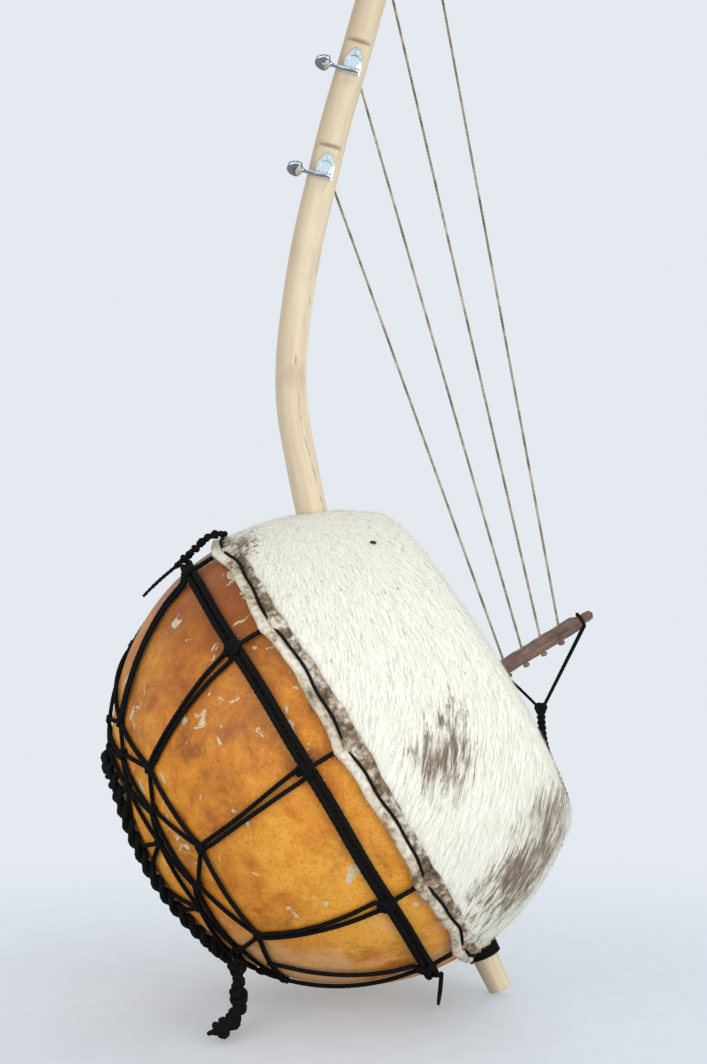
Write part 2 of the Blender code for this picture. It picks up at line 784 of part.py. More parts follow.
def build_binding(hide, finishes):
    """Cord wound on the spike, and the room that the hide leaves round it."""
    foot, way, _ = neck_frame(binding_start())
    _, _, thick = neck_frame(binding_start() + binding_length())
    middle = thick + BINDING_RADIUS + 2 * FIT
    frame = Matrix.Translation(foot) @ way.to_track_quat("Z", "Y").to_matrix().to_4x4()
    points = []
    for i in range(BINDING_TURNS * BINDING_POINTS + 1):
        turn = i / BINDING_POINTS
        angle = 2 * math.pi * turn
        rise = turn / BINDING_TURNS * binding_length()
        points.append(frame @ Vector((middle * math.cos(angle), middle * math.sin(angle), rise)))
    print_least_gap("tail_binding", points, BINDING_RADIUS, BINDING_POINTS)
    add_object("tail_binding", tube_curve("tail_binding", points, BINDING_RADIUS), finishes["cord"])
    room = cylinder_mesh(
        "binding_room", middle + BINDING_RADIUS + 2 * FIT, -BINDING_ROOM,
        binding_length() + BINDING_RADIUS + 2 * FIT, sides=24,
    )
    cut(hide, add_object("binding_room", room, place=frame, cutter=True))


def cut_tuner_seat(neck, index):
    """Flat with a step above and a ramp below, post bore, far-side seat and screw hole."""
    place = tuner_place(index)
    _, _, radius = neck_frame(FIRST_TUNER + index * TUNER_PITCH)
    reach = 2 * radius
    ramp = FLAT_RAMP / (radius - FLAT_DEPTH) * (reach - FLAT_DEPTH)
    outline = (
        (-FLAT_DEPTH, FLAT_RISE),
        (-FLAT_DEPTH, -FLAT_DROP),
        (-reach, -FLAT_DROP - ramp),
        (-reach, FLAT_RISE),
    )
    flat = plate_mesh(f"tuner_flat_{index + 1}", outline, 2 * reach)
    flat.transform(Matrix.Rotation(math.pi / 2, 4, "Z"))
    bore = cylinder_mesh(f"post_bore_{index + 1}", BUSHING_SLEEVE_RADIUS + FIT, -reach, reach, "Y")
    seat = cylinder_mesh(
        f"bushing_seat_{index + 1}", BUSHING_FLANGE_RADIUS + BUSHING_SEAT_GAP, BUSHING_SEAT, reach, "Y"
    )
    pilot = cylinder_mesh(
        f"screw_hole_{index + 1}", SCREW_RADIUS + FIT, -reach, SCREW_LENGTH - FLAT_DEPTH, "Y", sides=8
    )
    pilot.transform(Matrix.Translation((0, 0, TAB_HEIGHT)))
    for mesh in (flat, bore, seat, pilot):
        cut(neck, add_object(mesh.name, mesh, place=place, cutter=True))


def face_top():
    """Height of the face's outside at its middle."""
    return face_height() + HIDE_THICK / 2


def bridge_foot():
    return face_top() + FIT


def string_hole(index):
    """Middle of a string's hole in the bridge, in the gourd's frame."""
    return Vector((BRIDGE_SHIFT, 0, bridge_foot() + FIRST_STRING + index * STRING_PITCH))


def string_level():
    """Distance of a string from the plane y = 0 where it meets its post."""
    return BUSHING_SEAT + FIT + BUSHING_FLANGE_THICK + 2 * FIT + STRING_RADIUS


def winding_radius():
    """Radius of a winding's middle, so that its straight facets clear the post."""
    return (POST_RADIUS + FIT + STRING_RADIUS) / math.cos(math.pi / WINDING_POINTS)


def winding_pitch():
    return 2 * STRING_RADIUS + COIL_GAP


def string_line(bowl, index):
    """Hole in the bridge and the point where the string touches its post, on the post's right side."""
    hole = bowl.matrix_basis @ string_hole(index)
    post = tuner_place(index).translation
    across = Vector((post.x - hole.x, post.z - hole.z))
    length = across.length
    lean = math.asin(winding_radius() / length)
    way = Matrix.Rotation(-lean, 2) @ across.normalized()
    reach = math.sqrt(length**2 - winding_radius() ** 2)
    touch = Vector((hole.x + way.x * reach, string_level(), hole.z + way.y * reach))
    return hole, touch


def build_strings(bowl, bridge, finishes):
    down_face = bowl.matrix_basis.to_3x3() @ Vector((1, 0, 0))
    for index in range(STRINGS):
        hole, touch = string_line(bowl, index)
        way = (touch - hole).normalized()
        through = BRIDGE_THICK / 2 / abs(way.dot(down_face))
        knot_place = hole - way * (through + KNOT_RADIUS + FIT)
        name = f"string_{index + 1}"
        mesh = tube_mesh(name, [knot_place, touch + way * STRING_RADIUS], STRING_RADIUS, resolution=2)
        string = add_object(name, mesh, finishes["string"])
        knot = add_object(
            f"knot_{index + 1}", ball_mesh(f"knot_{index + 1}", KNOT_RADIUS),
            place=Matrix.Translation(knot_place), cutter=True,
        )
        join(string, knot)
        ends = [hole - way * BRIDGE_THICK, hole + way * BRIDGE_THICK]
        drill = tube_mesh(f"string_hole_{index + 1}", ends, STRING_RADIUS + STRING_HOLE_GAP, resolution=2)
        cut(bridge, add_object(drill.name, drill, cutter=True))


def bridge_outline(half, start, end, rounded):
    """A stick's outline in x and z, with a round end where it is asked for."""
    outline = [(-half, start), (half, start)]
    if not rounded:
        return outline + [(half, end), (-half, end)]
    for angle in np.radians(np.linspace(0, 180, 7)):
        outline.append((half * math.cos(angle), end - half + half * math.sin(angle)))
    return outline


def build_bridge(bowl, finishes):
    place = Matrix.Translation((BRIDGE_SHIFT, 0, bridge_foot()))
    body_length = BRIDGE_LENGTH - BRIDGE_TIP_LENGTH
    body = plate_mesh("bridge", bridge_outline(BRIDGE_THICK / 2, 0, body_length, False), BRIDGE_WIDTH)
    bridge = add_object("bridge", body, finishes["bridge"], bowl, place)
    tip_start = body_length - BRIDGE_THICK / 2
    tip = plate_mesh(
        "bridge_tip", bridge_outline(BRIDGE_TIP_THICK / 2, tip_start, BRIDGE_LENGTH, True), BRIDGE_TIP_THICK
    )
    bevel(bridge, BRIDGE_EDGE)
    join(bridge, add_object("bridge_tip", tip, parent=bowl, place=place, cutter=True))
    return bridge


def build_strap(bowl, finishes):
    """Cord doubled round the bridge's tip to a knot, a strand to its foot and a wrap to the spike."""
    loop_radius = BRIDGE_TIP_THICK / math.sqrt(2) + STRAP_RADIUS + FIT
    loop_height = bridge_foot() + BRIDGE_LENGTH - BRIDGE_TIP_LENGTH + STRAP_RADIUS + STRAP_LOOP_RISE
    bight = []
    for angle in np.linspace(STRAP_SPREAD, 2 * math.pi - STRAP_SPREAD, 12):
        x = BRIDGE_SHIFT + loop_radius * math.cos(angle)
        bight.append(Vector((x, loop_radius * math.sin(angle), loop_height)))
    knot = Vector((STRAP_KNOT_SHIFT, 0, face_top() + STRAP_KNOT_RISE))
    apart = Vector((0, STRAP_RADIUS + FIT, 0))
    bight = [knot + apart] + bight + [knot - apart]
    foot_x = BRIDGE_SHIFT + BRIDGE_THICK / 2 + FIT + STRAP_RADIUS
    foot = Vector((foot_x, -STRAP_FOOT_SIDE, face_top() + 2 * STRAP_RADIUS))
    off_hide = HIDE_THICK / 2 + STRAP_WRAP_RADIUS
    landing_height = face_height() - face_drop(STRAP_LANDING) + off_hide
    wrap = [knot, Vector((STRAP_LANDING, 0, landing_height))]
    for x, z in offset_path(hide_path(), off_hide):
        if x > STRAP_LANDING and z > STRAP_END_HEIGHT:
            wrap.append(Vector((x, 0, z)))
    place = Matrix.Translation(knot)
    ball = ball_mesh("tail_strap", STRAP_KNOT_RADIUS)
    strap = add_object("tail_strap", ball, finishes["cord"], bowl, place)
    runs = (
        ("strap_bight", bight, STRAP_RADIUS),
        ("strap_foot", [knot, foot], STRAP_RADIUS),
        ("strap_wrap", wrap, STRAP_WRAP_RADIUS),
    )
    for name, points, radius in runs:
        mesh = tube_mesh(name, points, radius)
        join(strap, add_object(name, mesh, parent=bowl, cutter=True))


def baked(obj):
    """The evaluated mesh of a helper, which is then removed."""
    bpy.context.view_layer.update()
    graph = bpy.context.evaluated_depsgraph_get()
    mesh = bpy.data.meshes.new_from_object(obj.evaluated_get(graph))
    mesh.name = obj.name
    obj.modifiers.clear()
    bpy.data.objects.remove(obj)
    return mesh


def plate_seat():
    """Place of the tuner plate's back along y."""
    return -FLAT_DEPTH - FIT


def barrel_radius():
    return WORM_TIP_RADIUS + SHAFT_PLAY + BARREL_WALL


def worm_axis():
    """Place of the worm's axis along y and z in the tuner's frame."""
    return plate_seat() - barrel_radius(), -(GEAR_TIP_RADIUS + WORM_TIP_RADIUS - WORM_MESH)


def worm_lead():
    return 2 * math.pi * GEAR_MESH_RADIUS / GEAR_TEETH


def worm_place():
    y, z = worm_axis()
    return Matrix.Translation((0, y, z))


def plate_outline():
    half = PLATE_WIDTH / 2
    tab = TAB_WIDTH / 2
    outline = [(-half, -PLATE_DROP), (half, -PLATE_DROP), (half, PLATE_SHOULDER)]
    for angle in np.radians(np.linspace(0, 180, 7)):
        outline.append((tab * math.cos(angle), TAB_HEIGHT + tab * math.sin(angle)))
    return outline + [(-half, PLATE_SHOULDER)]


def housing_mesh():
    seat = plate_seat()
    plate = plate_mesh("housing", plate_outline(), PLATE_THICK)
    plate.transform(Matrix.Translation((0, seat - PLATE_THICK / 2, 0)))
    housing = add_object("housing", plate, cutter=True)
    sleeve = SHAFT_RADIUS + SHAFT_PLAY + BARREL_WALL
    bore = WORM_TIP_RADIUS + SHAFT_PLAY
    solids = [
        cylinder_mesh("drum", DRUM_RADIUS, seat - DRUM_HEIGHT, seat - PLATE_THICK + DRUM_ROOT, "Y", 14),
        cylinder_mesh("barrel", barrel_radius(), -PLATE_WIDTH / 2, BARREL_BACK, "X", 10),
        cylinder_mesh("sleeve", sleeve, -BARREL_LENGTH, 0, "X", 8),
    ]
    holes = [
        cylinder_mesh(
            "chamber", GEAR_TIP_RADIUS + GEAR_PLAY, seat - 2 * DRUM_HEIGHT, seat - PLATE_THICK, "Y", 14
        ),
        cylinder_mesh("worm_bore", bore, -bore - worm_length() / 2, worm_end() + SHAFT_PLAY, "X", 10),
        cylinder_mesh("shaft_bore", SHAFT_RADIUS + SHAFT_PLAY, -2 * BARREL_LENGTH, 0, "X", 8),
        cylinder_mesh("post_hole", POST_RADIUS + POST_PLAY, seat - DRUM_HEIGHT, 0, "Y", 8),
        cylinder_mesh("tab_hole", SCREW_RADIUS + FIT, seat - DRUM_HEIGHT, 0, "Y", 8),
    ]
    for mesh in solids[1:] + holes[1:3]:
        mesh.transform(worm_place())
    holes[4].transform(Matrix.Translation((0, 0, TAB_HEIGHT)))
    helpers = []
    for mesh in solids + holes:
        helper = add_object(mesh.name, mesh, cutter=True)
        helpers.append(helper)
        (join if mesh in solids else cut)(housing, helper)
    mesh = baked(housing)
    for helper in helpers:
        bpy.data.objects.remove(helper)
    return mesh


def worm_length():
    return WORM_TURNS * worm_lead()


def worm_end():
    """End of the worm on the far side from its button."""
    return worm_length() / 2 + 2 * WORM_THREAD_RADIUS


def worm_mesh():
    """Shaft with its collar, and the thread wound on it."""
    start = -(BARREL_LENGTH + FIT + COLLAR_LENGTH + SHAFT_IN_BUTTON)
    collar = -(BARREL_LENGTH + FIT)
    core = worm_end()
    profile = [
        (0, core), (WORM_CORE_RADIUS, core), (WORM_CORE_RADIUS, -core), (SHAFT_RADIUS, -core),
        (SHAFT_RADIUS, collar), (COLLAR_RADIUS, collar),
        (COLLAR_RADIUS, collar - COLLAR_LENGTH), (SHAFT_RADIUS, collar - COLLAR_LENGTH),
        (SHAFT_RADIUS, start), (0, start),
    ]
    to_x = Matrix.Rotation(math.pi / 2, 4, "Y")
    shaft = turned("worm_shaft", profile, None, 8, place=to_x, cutter=True)
    middle = WORM_TIP_RADIUS - WORM_THREAD_RADIUS
    points = []
    for i in range(WORM_TURNS * WORM_POINTS + 1):
        angle = 2 * math.pi * i / WORM_POINTS
        x = worm_lead() * (i / WORM_POINTS - WORM_TURNS / 2)
        points.append(Vector((x, -middle * math.sin(angle), middle * math.cos(angle))))
    print_least_gap("worm thread", points, WORM_THREAD_RADIUS, WORM_POINTS)
    thread = add_object("worm_thread", tube_mesh("worm_thread", points, WORM_THREAD_RADIUS), cutter=True)
    join(shaft, thread)
    mesh = baked(shaft)
    mesh.transform(to_x)
    bpy.data.objects.remove(thread)
    return mesh


def button_mesh():
    """A half-moon key, flat towards its shaft, with a blind hole for it."""
    inner = -(BARREL_LENGTH + 2 * FIT + COLLAR_LENGTH)
    half = BUTTON_WIDTH / 2
    outline = [(inner, -BUTTON_NECK_SHARE * half), (inner, BUTTON_NECK_SHARE * half)]
    for angle in np.linspace(BUTTON_SWEEP, -BUTTON_SWEEP, 9):
        share = BUTTON_FLAT_SHARE + (1 - BUTTON_FLAT_SHARE) * math.cos(angle)
        outline.append((inner - BUTTON_LENGTH * share, half * math.sin(angle) / math.sin(BUTTON_SWEEP)))
    button = add_object("button", plate_mesh("button", outline, BUTTON_THICK), cutter=True)
    bevel(button, BUTTON_THICK / 4, segments=1)
    depth = inner - SHAFT_IN_BUTTON - FIT
    hole = add_object(
        "shaft_hole", cylinder_mesh("shaft_hole", SHAFT_RADIUS + FIT, depth, 0, "X", 8), cutter=True
    )
    cut(button, hole)
    mesh = baked(button)
    bpy.data.objects.remove(hole)
    return mesh


def gear_mesh():
    outline = []
    pitch = 2 * math.pi / GEAR_TEETH
    for tooth in range(GEAR_TEETH):
        middle = -math.pi / 2 + (tooth + (WORM_TURNS + 1) / 2) * pitch
        for share in (-0.5, -TOOTH_TIP_SHARE, TOOTH_TIP_SHARE):
            radius = GEAR_ROOT_RADIUS if share == -0.5 else GEAR_TIP_RADIUS
            angle = middle + share * pitch
            outline.append((radius * math.cos(angle), radius * math.sin(angle)))
    gear = add_object("gear", plate_mesh("gear", outline, GEAR_THICK), cutter=True)
    hole = add_object(
        "gear_hole", cylinder_mesh("gear_hole", POST_SEAT_RADIUS + FIT, -GEAR_THICK, GEAR_THICK, "Y", 8),
        cutter=True,
    )
    cut(gear, hole)
    mesh = baked(gear)
    bpy.data.objects.remove(hole)
    mesh.transform(Matrix.Translation((0, worm_axis()[0], 0)))
    return mesh


def winding_start():
    return string_level() + 2 * STRING_RADIUS + COIL_GAP


def post_mesh():
    gear_y = worm_axis()[0]
    shoulder = gear_y + GEAR_THICK / 2 + FIT
    inner_end = gear_y - GEAR_THICK / 2 - FIT
    head = winding_start() + WINDING_TURNS * winding_pitch() + STRING_RADIUS + FIT
    profile = [
        (0, head + POST_HEAD_LENGTH), (POST_HEAD_RADIUS, head + POST_HEAD_LENGTH),
        (POST_HEAD_RADIUS, head), (POST_RADIUS, head), (POST_RADIUS, shoulder),
        (POST_SEAT_RADIUS, shoulder), (POST_SEAT_RADIUS, inner_end), (0, inner_end),
    ]
    to_y = Matrix.Rotation(-math.pi / 2, 4, "X")
    mesh = baked(turned("post", profile, None, 8, cutter=True))
    mesh.transform(to_y)
    return mesh


def bushing_mesh():
    seat = BUSHING_SEAT + FIT
    bore = POST_RADIUS + POST_PLAY
    profile = [
        (bore, seat + BUSHING_FLANGE_THICK), (BUSHING_FLANGE_RADIUS, seat + BUSHING_FLANGE_THICK),
        (BUSHING_FLANGE_RADIUS, seat), (BUSHING_SLEEVE_RADIUS, seat),
        (BUSHING_SLEEVE_RADIUS, seat - BUSHING_SLEEVE_LENGTH), (bore, seat - BUSHING_SLEEVE_LENGTH),
    ]
    mesh = baked(turned("bushing", profile, None, 8, cutter=True))
    mesh.transform(Matrix.Rotation(-math.pi / 2, 4, "X"))
    return mesh


def cap_mesh():
    """Round cover on the gear drum, slightly domed."""
    top = DRUM_HEIGHT + FIT
    profile = [(across * CAP_RADIUS, top + rise * CAP_THICK) for across, rise in CAP_PROFILE]
    mesh = baked(turned("cap", profile, None, 12, cutter=True))
    mesh.transform(Matrix.Translation((0, plate_seat(), 0)) @ Matrix.Rotation(math.pi / 2, 4, "X"))
    return mesh


def screw_mesh():
    """Round-headed wood screw through the plate's tab."""
    seat = PLATE_THICK + FIT
    across, rise = SCREW_CROWN
    profile = [
        (0, seat + SCREW_HEAD_HEIGHT), (across * SCREW_HEAD_RADIUS, seat + rise * SCREW_HEAD_HEIGHT),
        (SCREW_HEAD_RADIUS, seat), (SCREW_RADIUS, seat),
        (SCREW_RADIUS, seat - SCREW_LENGTH + SCREW_POINT), (0, seat - SCREW_LENGTH),
    ]
    mesh = baked(turned("mount_screw", profile, None, 6, cutter=True))
    turn = Matrix.Rotation(math.pi / 2, 4, "X")
    mesh.transform(Matrix.Translation((0, plate_seat(), TAB_HEIGHT)) @ turn)
    return mesh


def build_windings(index, bowl, tuner, finishes):
    """String wound on its post, next to where the straight string arrives."""
    _, touch = string_line(bowl, index)
    post = tuner_place(index).translation
    first = math.atan2(touch.z - post.z, touch.x - post.x)
    points = []
    for i in range(WINDING_TURNS * WINDING_POINTS + 1):
        turn = i / WINDING_POINTS
        angle = first + 2 * math.pi * turn
        x = post.x + winding_radius() * math.cos(angle)
        z = post.z + winding_radius() * math.sin(angle)
        points.append(Vector((x, winding_start() + turn * winding_pitch(), z)))
    name = f"winding_{index + 1}"
    print_least_gap(name, points, STRING_RADIUS, WINDING_POINTS)
    local = tuner.matrix_basis.inverted()
    curve = tube_curve(name, [local @ point for point in points], STRING_RADIUS)
    add_object(name, curve, finishes["string"], tuner)


def build_tuners(bowl, finishes):
    pieces = (
        ("housing", housing_mesh(), "chrome"),
        ("cap", cap_mesh(), "chrome"),
        ("worm_shaft", worm_mesh(), "steel"),
        ("button", button_mesh(), "chrome"),
        ("post", post_mesh(), "chrome"),
        ("gear", gear_mesh(), "brass"),
        ("bushing", bushing_mesh(), "chrome"),
        ("mount_screw", screw_mesh(), "chrome"),
    )
    for name, mesh, finish in pieces:
        mesh.materials.clear()
        mesh.materials.append(finishes[finish])
    for index in range(STRINGS):
        tuner = add_empty(f"tuner_{index + 1}", tuner_place(index))
        key = add_empty(f"tuner_key_{index + 1}", worm_place(), tuner)
        for name, mesh, _ in pieces:
            on_key = name in ("worm_shaft", "button")
            obj = add_object(f"{name}_{index + 1}", mesh, parent=key if on_key else tuner)
            shade(obj)
        build_windings(index, bowl, tuner, finishes)


def falling_route(start, fall, step):
    """Points of a cord that leaves the gourd at a height, angle and lift and hangs from there."""
    height, angle, lift = start
    foot = gourd_place() @ on_gourd(height * MM, math.radians(angle), lift * MM)
    knots = [[foot[axis] + row[axis] * MM for axis in range(3)] for row in fall]
    return [Vector(row) for row in smooth_route(knots, step)]


def build_free_cords(bowl, finishes):
    falling = (
        ("tail_chain", TAIL_CHAIN_START, TAIL_CHAIN_FALL, TAIL_CHAIN_RADIUS),
        ("loose_end", LOOSE_END_START, LOOSE_END_FALL, LOOSE_END_RADIUS),
    )
    for name, start, fall, radius in falling:
        points = falling_route(start, fall, 2 * radius)
        add_object(name, tube_curve(name, points, radius, resolution=2), finishes["cord"])
    knots = []
    for height, angle, lift, radius in TOP_CHAIN_ROUTE:
        knots.append((*on_gourd(height * MM, math.radians(angle), lift * MM), radius * MM))
    top = smooth_route(knots, TOP_CHAIN_STEP)
    thick = max(row[3] for row in top)
    scales = [row[3] / thick for row in top]
    curve = tube_curve("top_chain", [Vector(row[:3]) for row in top], thick, resolution=2, scales=scales)
    add_object("top_chain", curve, finishes["cord"], bowl)


def main():
    global parts, cutters
    clear_scene()
    parts = collection("bolon")
    cutters = collection("cutters", hidden=True)
    finishes = {
        "gourd": material("gourd", (0.58, 0.26, 0.06), 0.45),
        "hide": material("hide", (0.78, 0.74, 0.66), 0.9),
        "cord": material("black cord", (0.012, 0.012, 0.013), 0.85),
        "iron": material("iron", (0.03, 0.03, 0.03), 0.5, 1.0),
        "neck": material("peeled wood", (0.72, 0.60, 0.44), 0.6),
        "bridge": material("bridge wood", (0.22, 0.11, 0.06), 0.6),
        "string": material("twisted fibre", (0.20, 0.16, 0.11), 0.8),
        "chrome": material("chrome", (0.8, 0.82, 0.84), 0.1, 1.0),
        "brass": material("brass", (0.75, 0.55, 0.22), 0.3, 1.0),
        "steel": material("steel", (0.55, 0.56, 0.58), 0.35, 1.0),
    }
    bowl = add_empty("gourd_axis", gourd_place())
    gourd, hide = build_resonator(bowl, finishes)
    build_hoop(bowl, finishes)
    build_lacing(bowl, finishes)
    build_back_ring(bowl, finishes)
    build_neck(gourd, hide, finishes)
    build_binding(hide, finishes)
    bridge = build_bridge(bowl, finishes)
    build_strings(bowl, bridge, finishes)
    build_strap(bowl, finishes)
    build_tuners(bowl, finishes)
    build_free_cords(bowl, finishes)


if __name__ == "__main__":
    main()
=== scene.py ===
"""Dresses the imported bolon, a four-string harp-lute on a laced gourd, and sets it on a studio floor."""

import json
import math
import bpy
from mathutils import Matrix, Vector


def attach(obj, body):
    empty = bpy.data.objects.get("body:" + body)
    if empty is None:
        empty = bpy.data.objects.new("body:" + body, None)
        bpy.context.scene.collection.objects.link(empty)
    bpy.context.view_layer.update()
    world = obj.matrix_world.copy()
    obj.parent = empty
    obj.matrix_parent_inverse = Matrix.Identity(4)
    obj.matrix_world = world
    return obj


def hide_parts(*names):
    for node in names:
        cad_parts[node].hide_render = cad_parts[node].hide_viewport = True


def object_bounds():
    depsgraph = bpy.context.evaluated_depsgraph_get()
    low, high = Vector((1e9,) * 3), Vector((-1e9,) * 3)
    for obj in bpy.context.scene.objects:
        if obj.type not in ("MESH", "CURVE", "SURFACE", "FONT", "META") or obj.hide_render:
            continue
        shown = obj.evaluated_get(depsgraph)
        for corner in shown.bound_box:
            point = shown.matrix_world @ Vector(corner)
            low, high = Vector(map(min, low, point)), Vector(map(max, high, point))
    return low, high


bl_info = {
    "name": "Bolon dresser",
    "version": (1, 0, 0),
    "blender": (4, 5, 0),
    "location": "View3D > Sidebar > Bolon",
    "description": "Gourd, haired hide, lacing, neck, strings and tuners over the packed model",
    "category": "Object",
}

from functools import partial, partialmethod

import bmesh
import bpy
import numpy as np
from mathutils import Vector

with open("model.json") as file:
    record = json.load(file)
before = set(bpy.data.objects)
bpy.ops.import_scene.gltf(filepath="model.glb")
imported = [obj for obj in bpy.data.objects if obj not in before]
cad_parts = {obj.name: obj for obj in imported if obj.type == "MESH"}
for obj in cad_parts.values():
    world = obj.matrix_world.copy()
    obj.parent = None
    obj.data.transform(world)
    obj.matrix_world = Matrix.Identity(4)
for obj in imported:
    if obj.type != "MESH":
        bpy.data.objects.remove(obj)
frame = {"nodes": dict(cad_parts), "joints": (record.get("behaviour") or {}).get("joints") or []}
CAD_BOX = [list(corner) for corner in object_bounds()]

# Sizes below are in millimetres and degrees, as in the part's source; meshes are made in metres.
MM = 0.001
TURN = 2 * math.pi
ASIDE = np.array((0, 1.0, 0))  # away from the viewer, out of the neck's plane
BOWL_CENTRE = (-162.0, 0.0, 241.0)
BOWL_TILT = math.radians(59)
GOURD_RADIUS = 235.0
FRONT_HALF = 235.0
BACK_HALF = 222.0
WALL = 9.0
MOUTH = 152.0
FACE_CROWN = 175.0
FACE_EDGE = 163.0
HEM_HEIGHT = -6.0
ROLL_LIFT = 4.7  # of the roll's middle off the skin
FLAP_START = 5.6  # of the flap, over the roll's middle
HOOP_HEIGHT = -36.0
HOOP_RADIUS = 231.0
HOOP_SPREAD = 3.3  # of the hoop's two turns from their middle
HITCH_HALF = 5.2  # from a tie to each of its two stays

# Each lace hangs at an angle on the hoop, and its stays meet at a height and an angle of their own.
HOOP_ANGLES = (-58.8, -28.9, 7.4, 40.0, 74.6, 110.0, 146.0, 182.0, 219.0, 260.0)
SEAM = HOOP_ANGLES[7]  # far side, where the closed cords join
MEETS = (
    (-158.0, -66.0), (-153.0, -31.2), (-155.0, 3.8), (-159.5, 35.0), (-164.0, 62.0),
    (-122.0, 103.0), (-146.0, 143.0), (-152.0, 181.0), (-150.0, 217.0), (-152.0, 254.0),
)
SLIPPED = 17.0
SCALLOPS = (5.5, 6.0, 7.0, 6.0, 7.5, 6.5, 7.0, 5.5, 7.0, 6.5)

# The net behind the stays: two rows of knots, each set off from the middle between two of the row before.
ROW_B = -176.0
ROW_C = -188.0
NET_LEAN = 0.66
RING_HALVES = (78.0, 108.0)
RING_SQUARE = 3.2
RING_LIFT = 5.6

# Middle of the neck (x, z) and its diameter.
NECK_KNOTS = (
    (0, 0, 23.5), (-21.5, 45, 27.5), (-46, 92, 29), (-94, 188, 30), (-166, 388, 31), (-200, 528, 31.5),
    (-210, 608, 31.5), (-201, 708, 31), (-169.5, 848, 31), (-115.5, 1038, 30.5), (-65, 1193, 30),
)
NECK_SIDES = 56
NECK_FLAT = -11.6
FLAT_RISE, FLAT_DROP, FLAT_RAMP = 23, 15, 14
SEAT_DEPTH, SEAT_RADIUS = 12.6, 7.2

TAIL_CHAIN = (
    (-267.0, -85.0, 51.0), (-266.0, -101.0, 30.0), (-267.0, -120.0, 11.5),
    (-274.0, -143.0, 6.0), (-281.0, -166.0, 6.0), (-287.0, -186.0, 6.0),
)
TAIL_CORE = 3.4
LOOSE_END = ((-66.1, -48.8, 26.0), (-67.6, -53.3, 14.0), (-70.6, -58.8, -2.5))
# Height and angle on the gourd, lift off it, and half width of the chain.
TOP_CHAIN = (
    (13, 81, 10.4, 5), (4, 82, 14.6, 5), (-6, 83, 15.6, 5), (-17, 83, 13.4, 5), (-28, 82, 12.6, 5),
    (-38, 81, 13, 4.6), (-46, 80.5, 13.6, 2.6), (-60, 80, 15.4, 2.3), (-80, 79.5, 18, 2),
)
KNOT_THREAD = 0.165  # cord radius in a knot one across

BUTTON_PROFILE = (
    (0.0, -3.2), (0.84, -3.1), (0.94, -2.7), (1.0, -1.8), (1.0, 1.8), (0.94, 2.7), (0.84, 3.1), (0.0, 3.2),
)
BUTTON_REACH = (0, 0.4, 1.6, 3.4, 5.6, 8.0, 10.4, 12.5, 14.2, 15.3, 15.9, 16.0)
BUTTON_HALF = (2.4, 3.6, 6.6, 8.4, 9.0, 8.8, 8.1, 6.9, 5.2, 3.4, 1.5, 0.0)
BUTTON_ROOT = (21.2, 15.35, 7.4)  # from the post: back along the key's axis, to the near side, down
TACK_PROFILE = ((0, -6), (0.7, -4), (0.8, 0.2), (2.9, 0.3), (3.1, 0.7), (2.6, 1.4), (1.5, 1.9), (0, 2.1))
TACK_PLACE = (124, 55)

BRIDGE_X = 16.0
BRIDGE_FOOT = 176.3
BRIDGE_LENGTH = 112.0
STRING_HOLES = tuple(BRIDGE_FOOT + 9 + 21.4 * i for i in range(4))
STRING_TOUCH = (
    (-172.53, 17.1, 818.52), (-144.66, 17.1, 922.56), (-114.46, 17.1, 1026.01), (-81.63, 17.1, 1128.69),
)
STRING_TUCK = 1.2
STRING_LAY = 7.5
STRING_GROOVE = 0.22
STRING_KNOT = 7.4
STRING_KNOT_THREAD = 0.18

# Brown patches of the hide: centre, half sizes and lean.
BROWN_PATCHES = (
    ((-85, -197, 261), (36, 90, 42), 0),
    ((2, -113, 150), (39, 120, 108), 35),
    ((-256, -51, 436), (26, 56, 25), 0),
)


def tint(code):
    """Linear colour of a #rrggbb code."""
    parts = [int(code[i : i + 2], 16) / 255 for i in (1, 3, 5)]
    return tuple(p / 12.92 if p <= 0.04045 else ((p + 0.055) / 1.055) ** 2.4 for p in parts)


def opaque(colour):
    """A colour, or the colour of a #rrggbb code, with full alpha."""
    return (*(tint(colour) if isinstance(colour, str) else colour), 1)


def colour_setting(name, description, code):
    return bpy.props.FloatVectorProperty(
        name=name, description=description, subtype="COLOR", size=3, min=0, max=1, default=tint(code)
    )


def number_setting(name, description, default, **kind):
    return bpy.props.FloatProperty(name=name, description=description, default=default, **kind)


def length_setting(name, description, millimetres):
    return number_setting(name, description, millimetres * MM, subtype="DISTANCE", unit="LENGTH", min=0)


class BolonSizes(bpy.types.PropertyGroup):
    """Sizes that a maker would change."""

    rope: length_setting("Rope radius", "Radius of the hoop's cord", 3.5)
    stay: length_setting("Stay radius", "Radius of the ties, stays and net cords", 2.6)
    string: length_setting("String radius", "Radius of a string", 1.4)
    hair_length: length_setting("Hair length", "Length of a hair of the hide", 11.0)
    hair_width: length_setting("Hair width", "Width of a hair at its root", 0.32)
    hair_density: number_setting("Hair density", "Hairs per square metre of hide", 134000, min=0)
    hoop_knot: length_setting("Hitch size", "Width of a hitch on the hoop", 15.0)
    net_knot: length_setting("Net knot size", "Width of a knot of the net", 11.0)


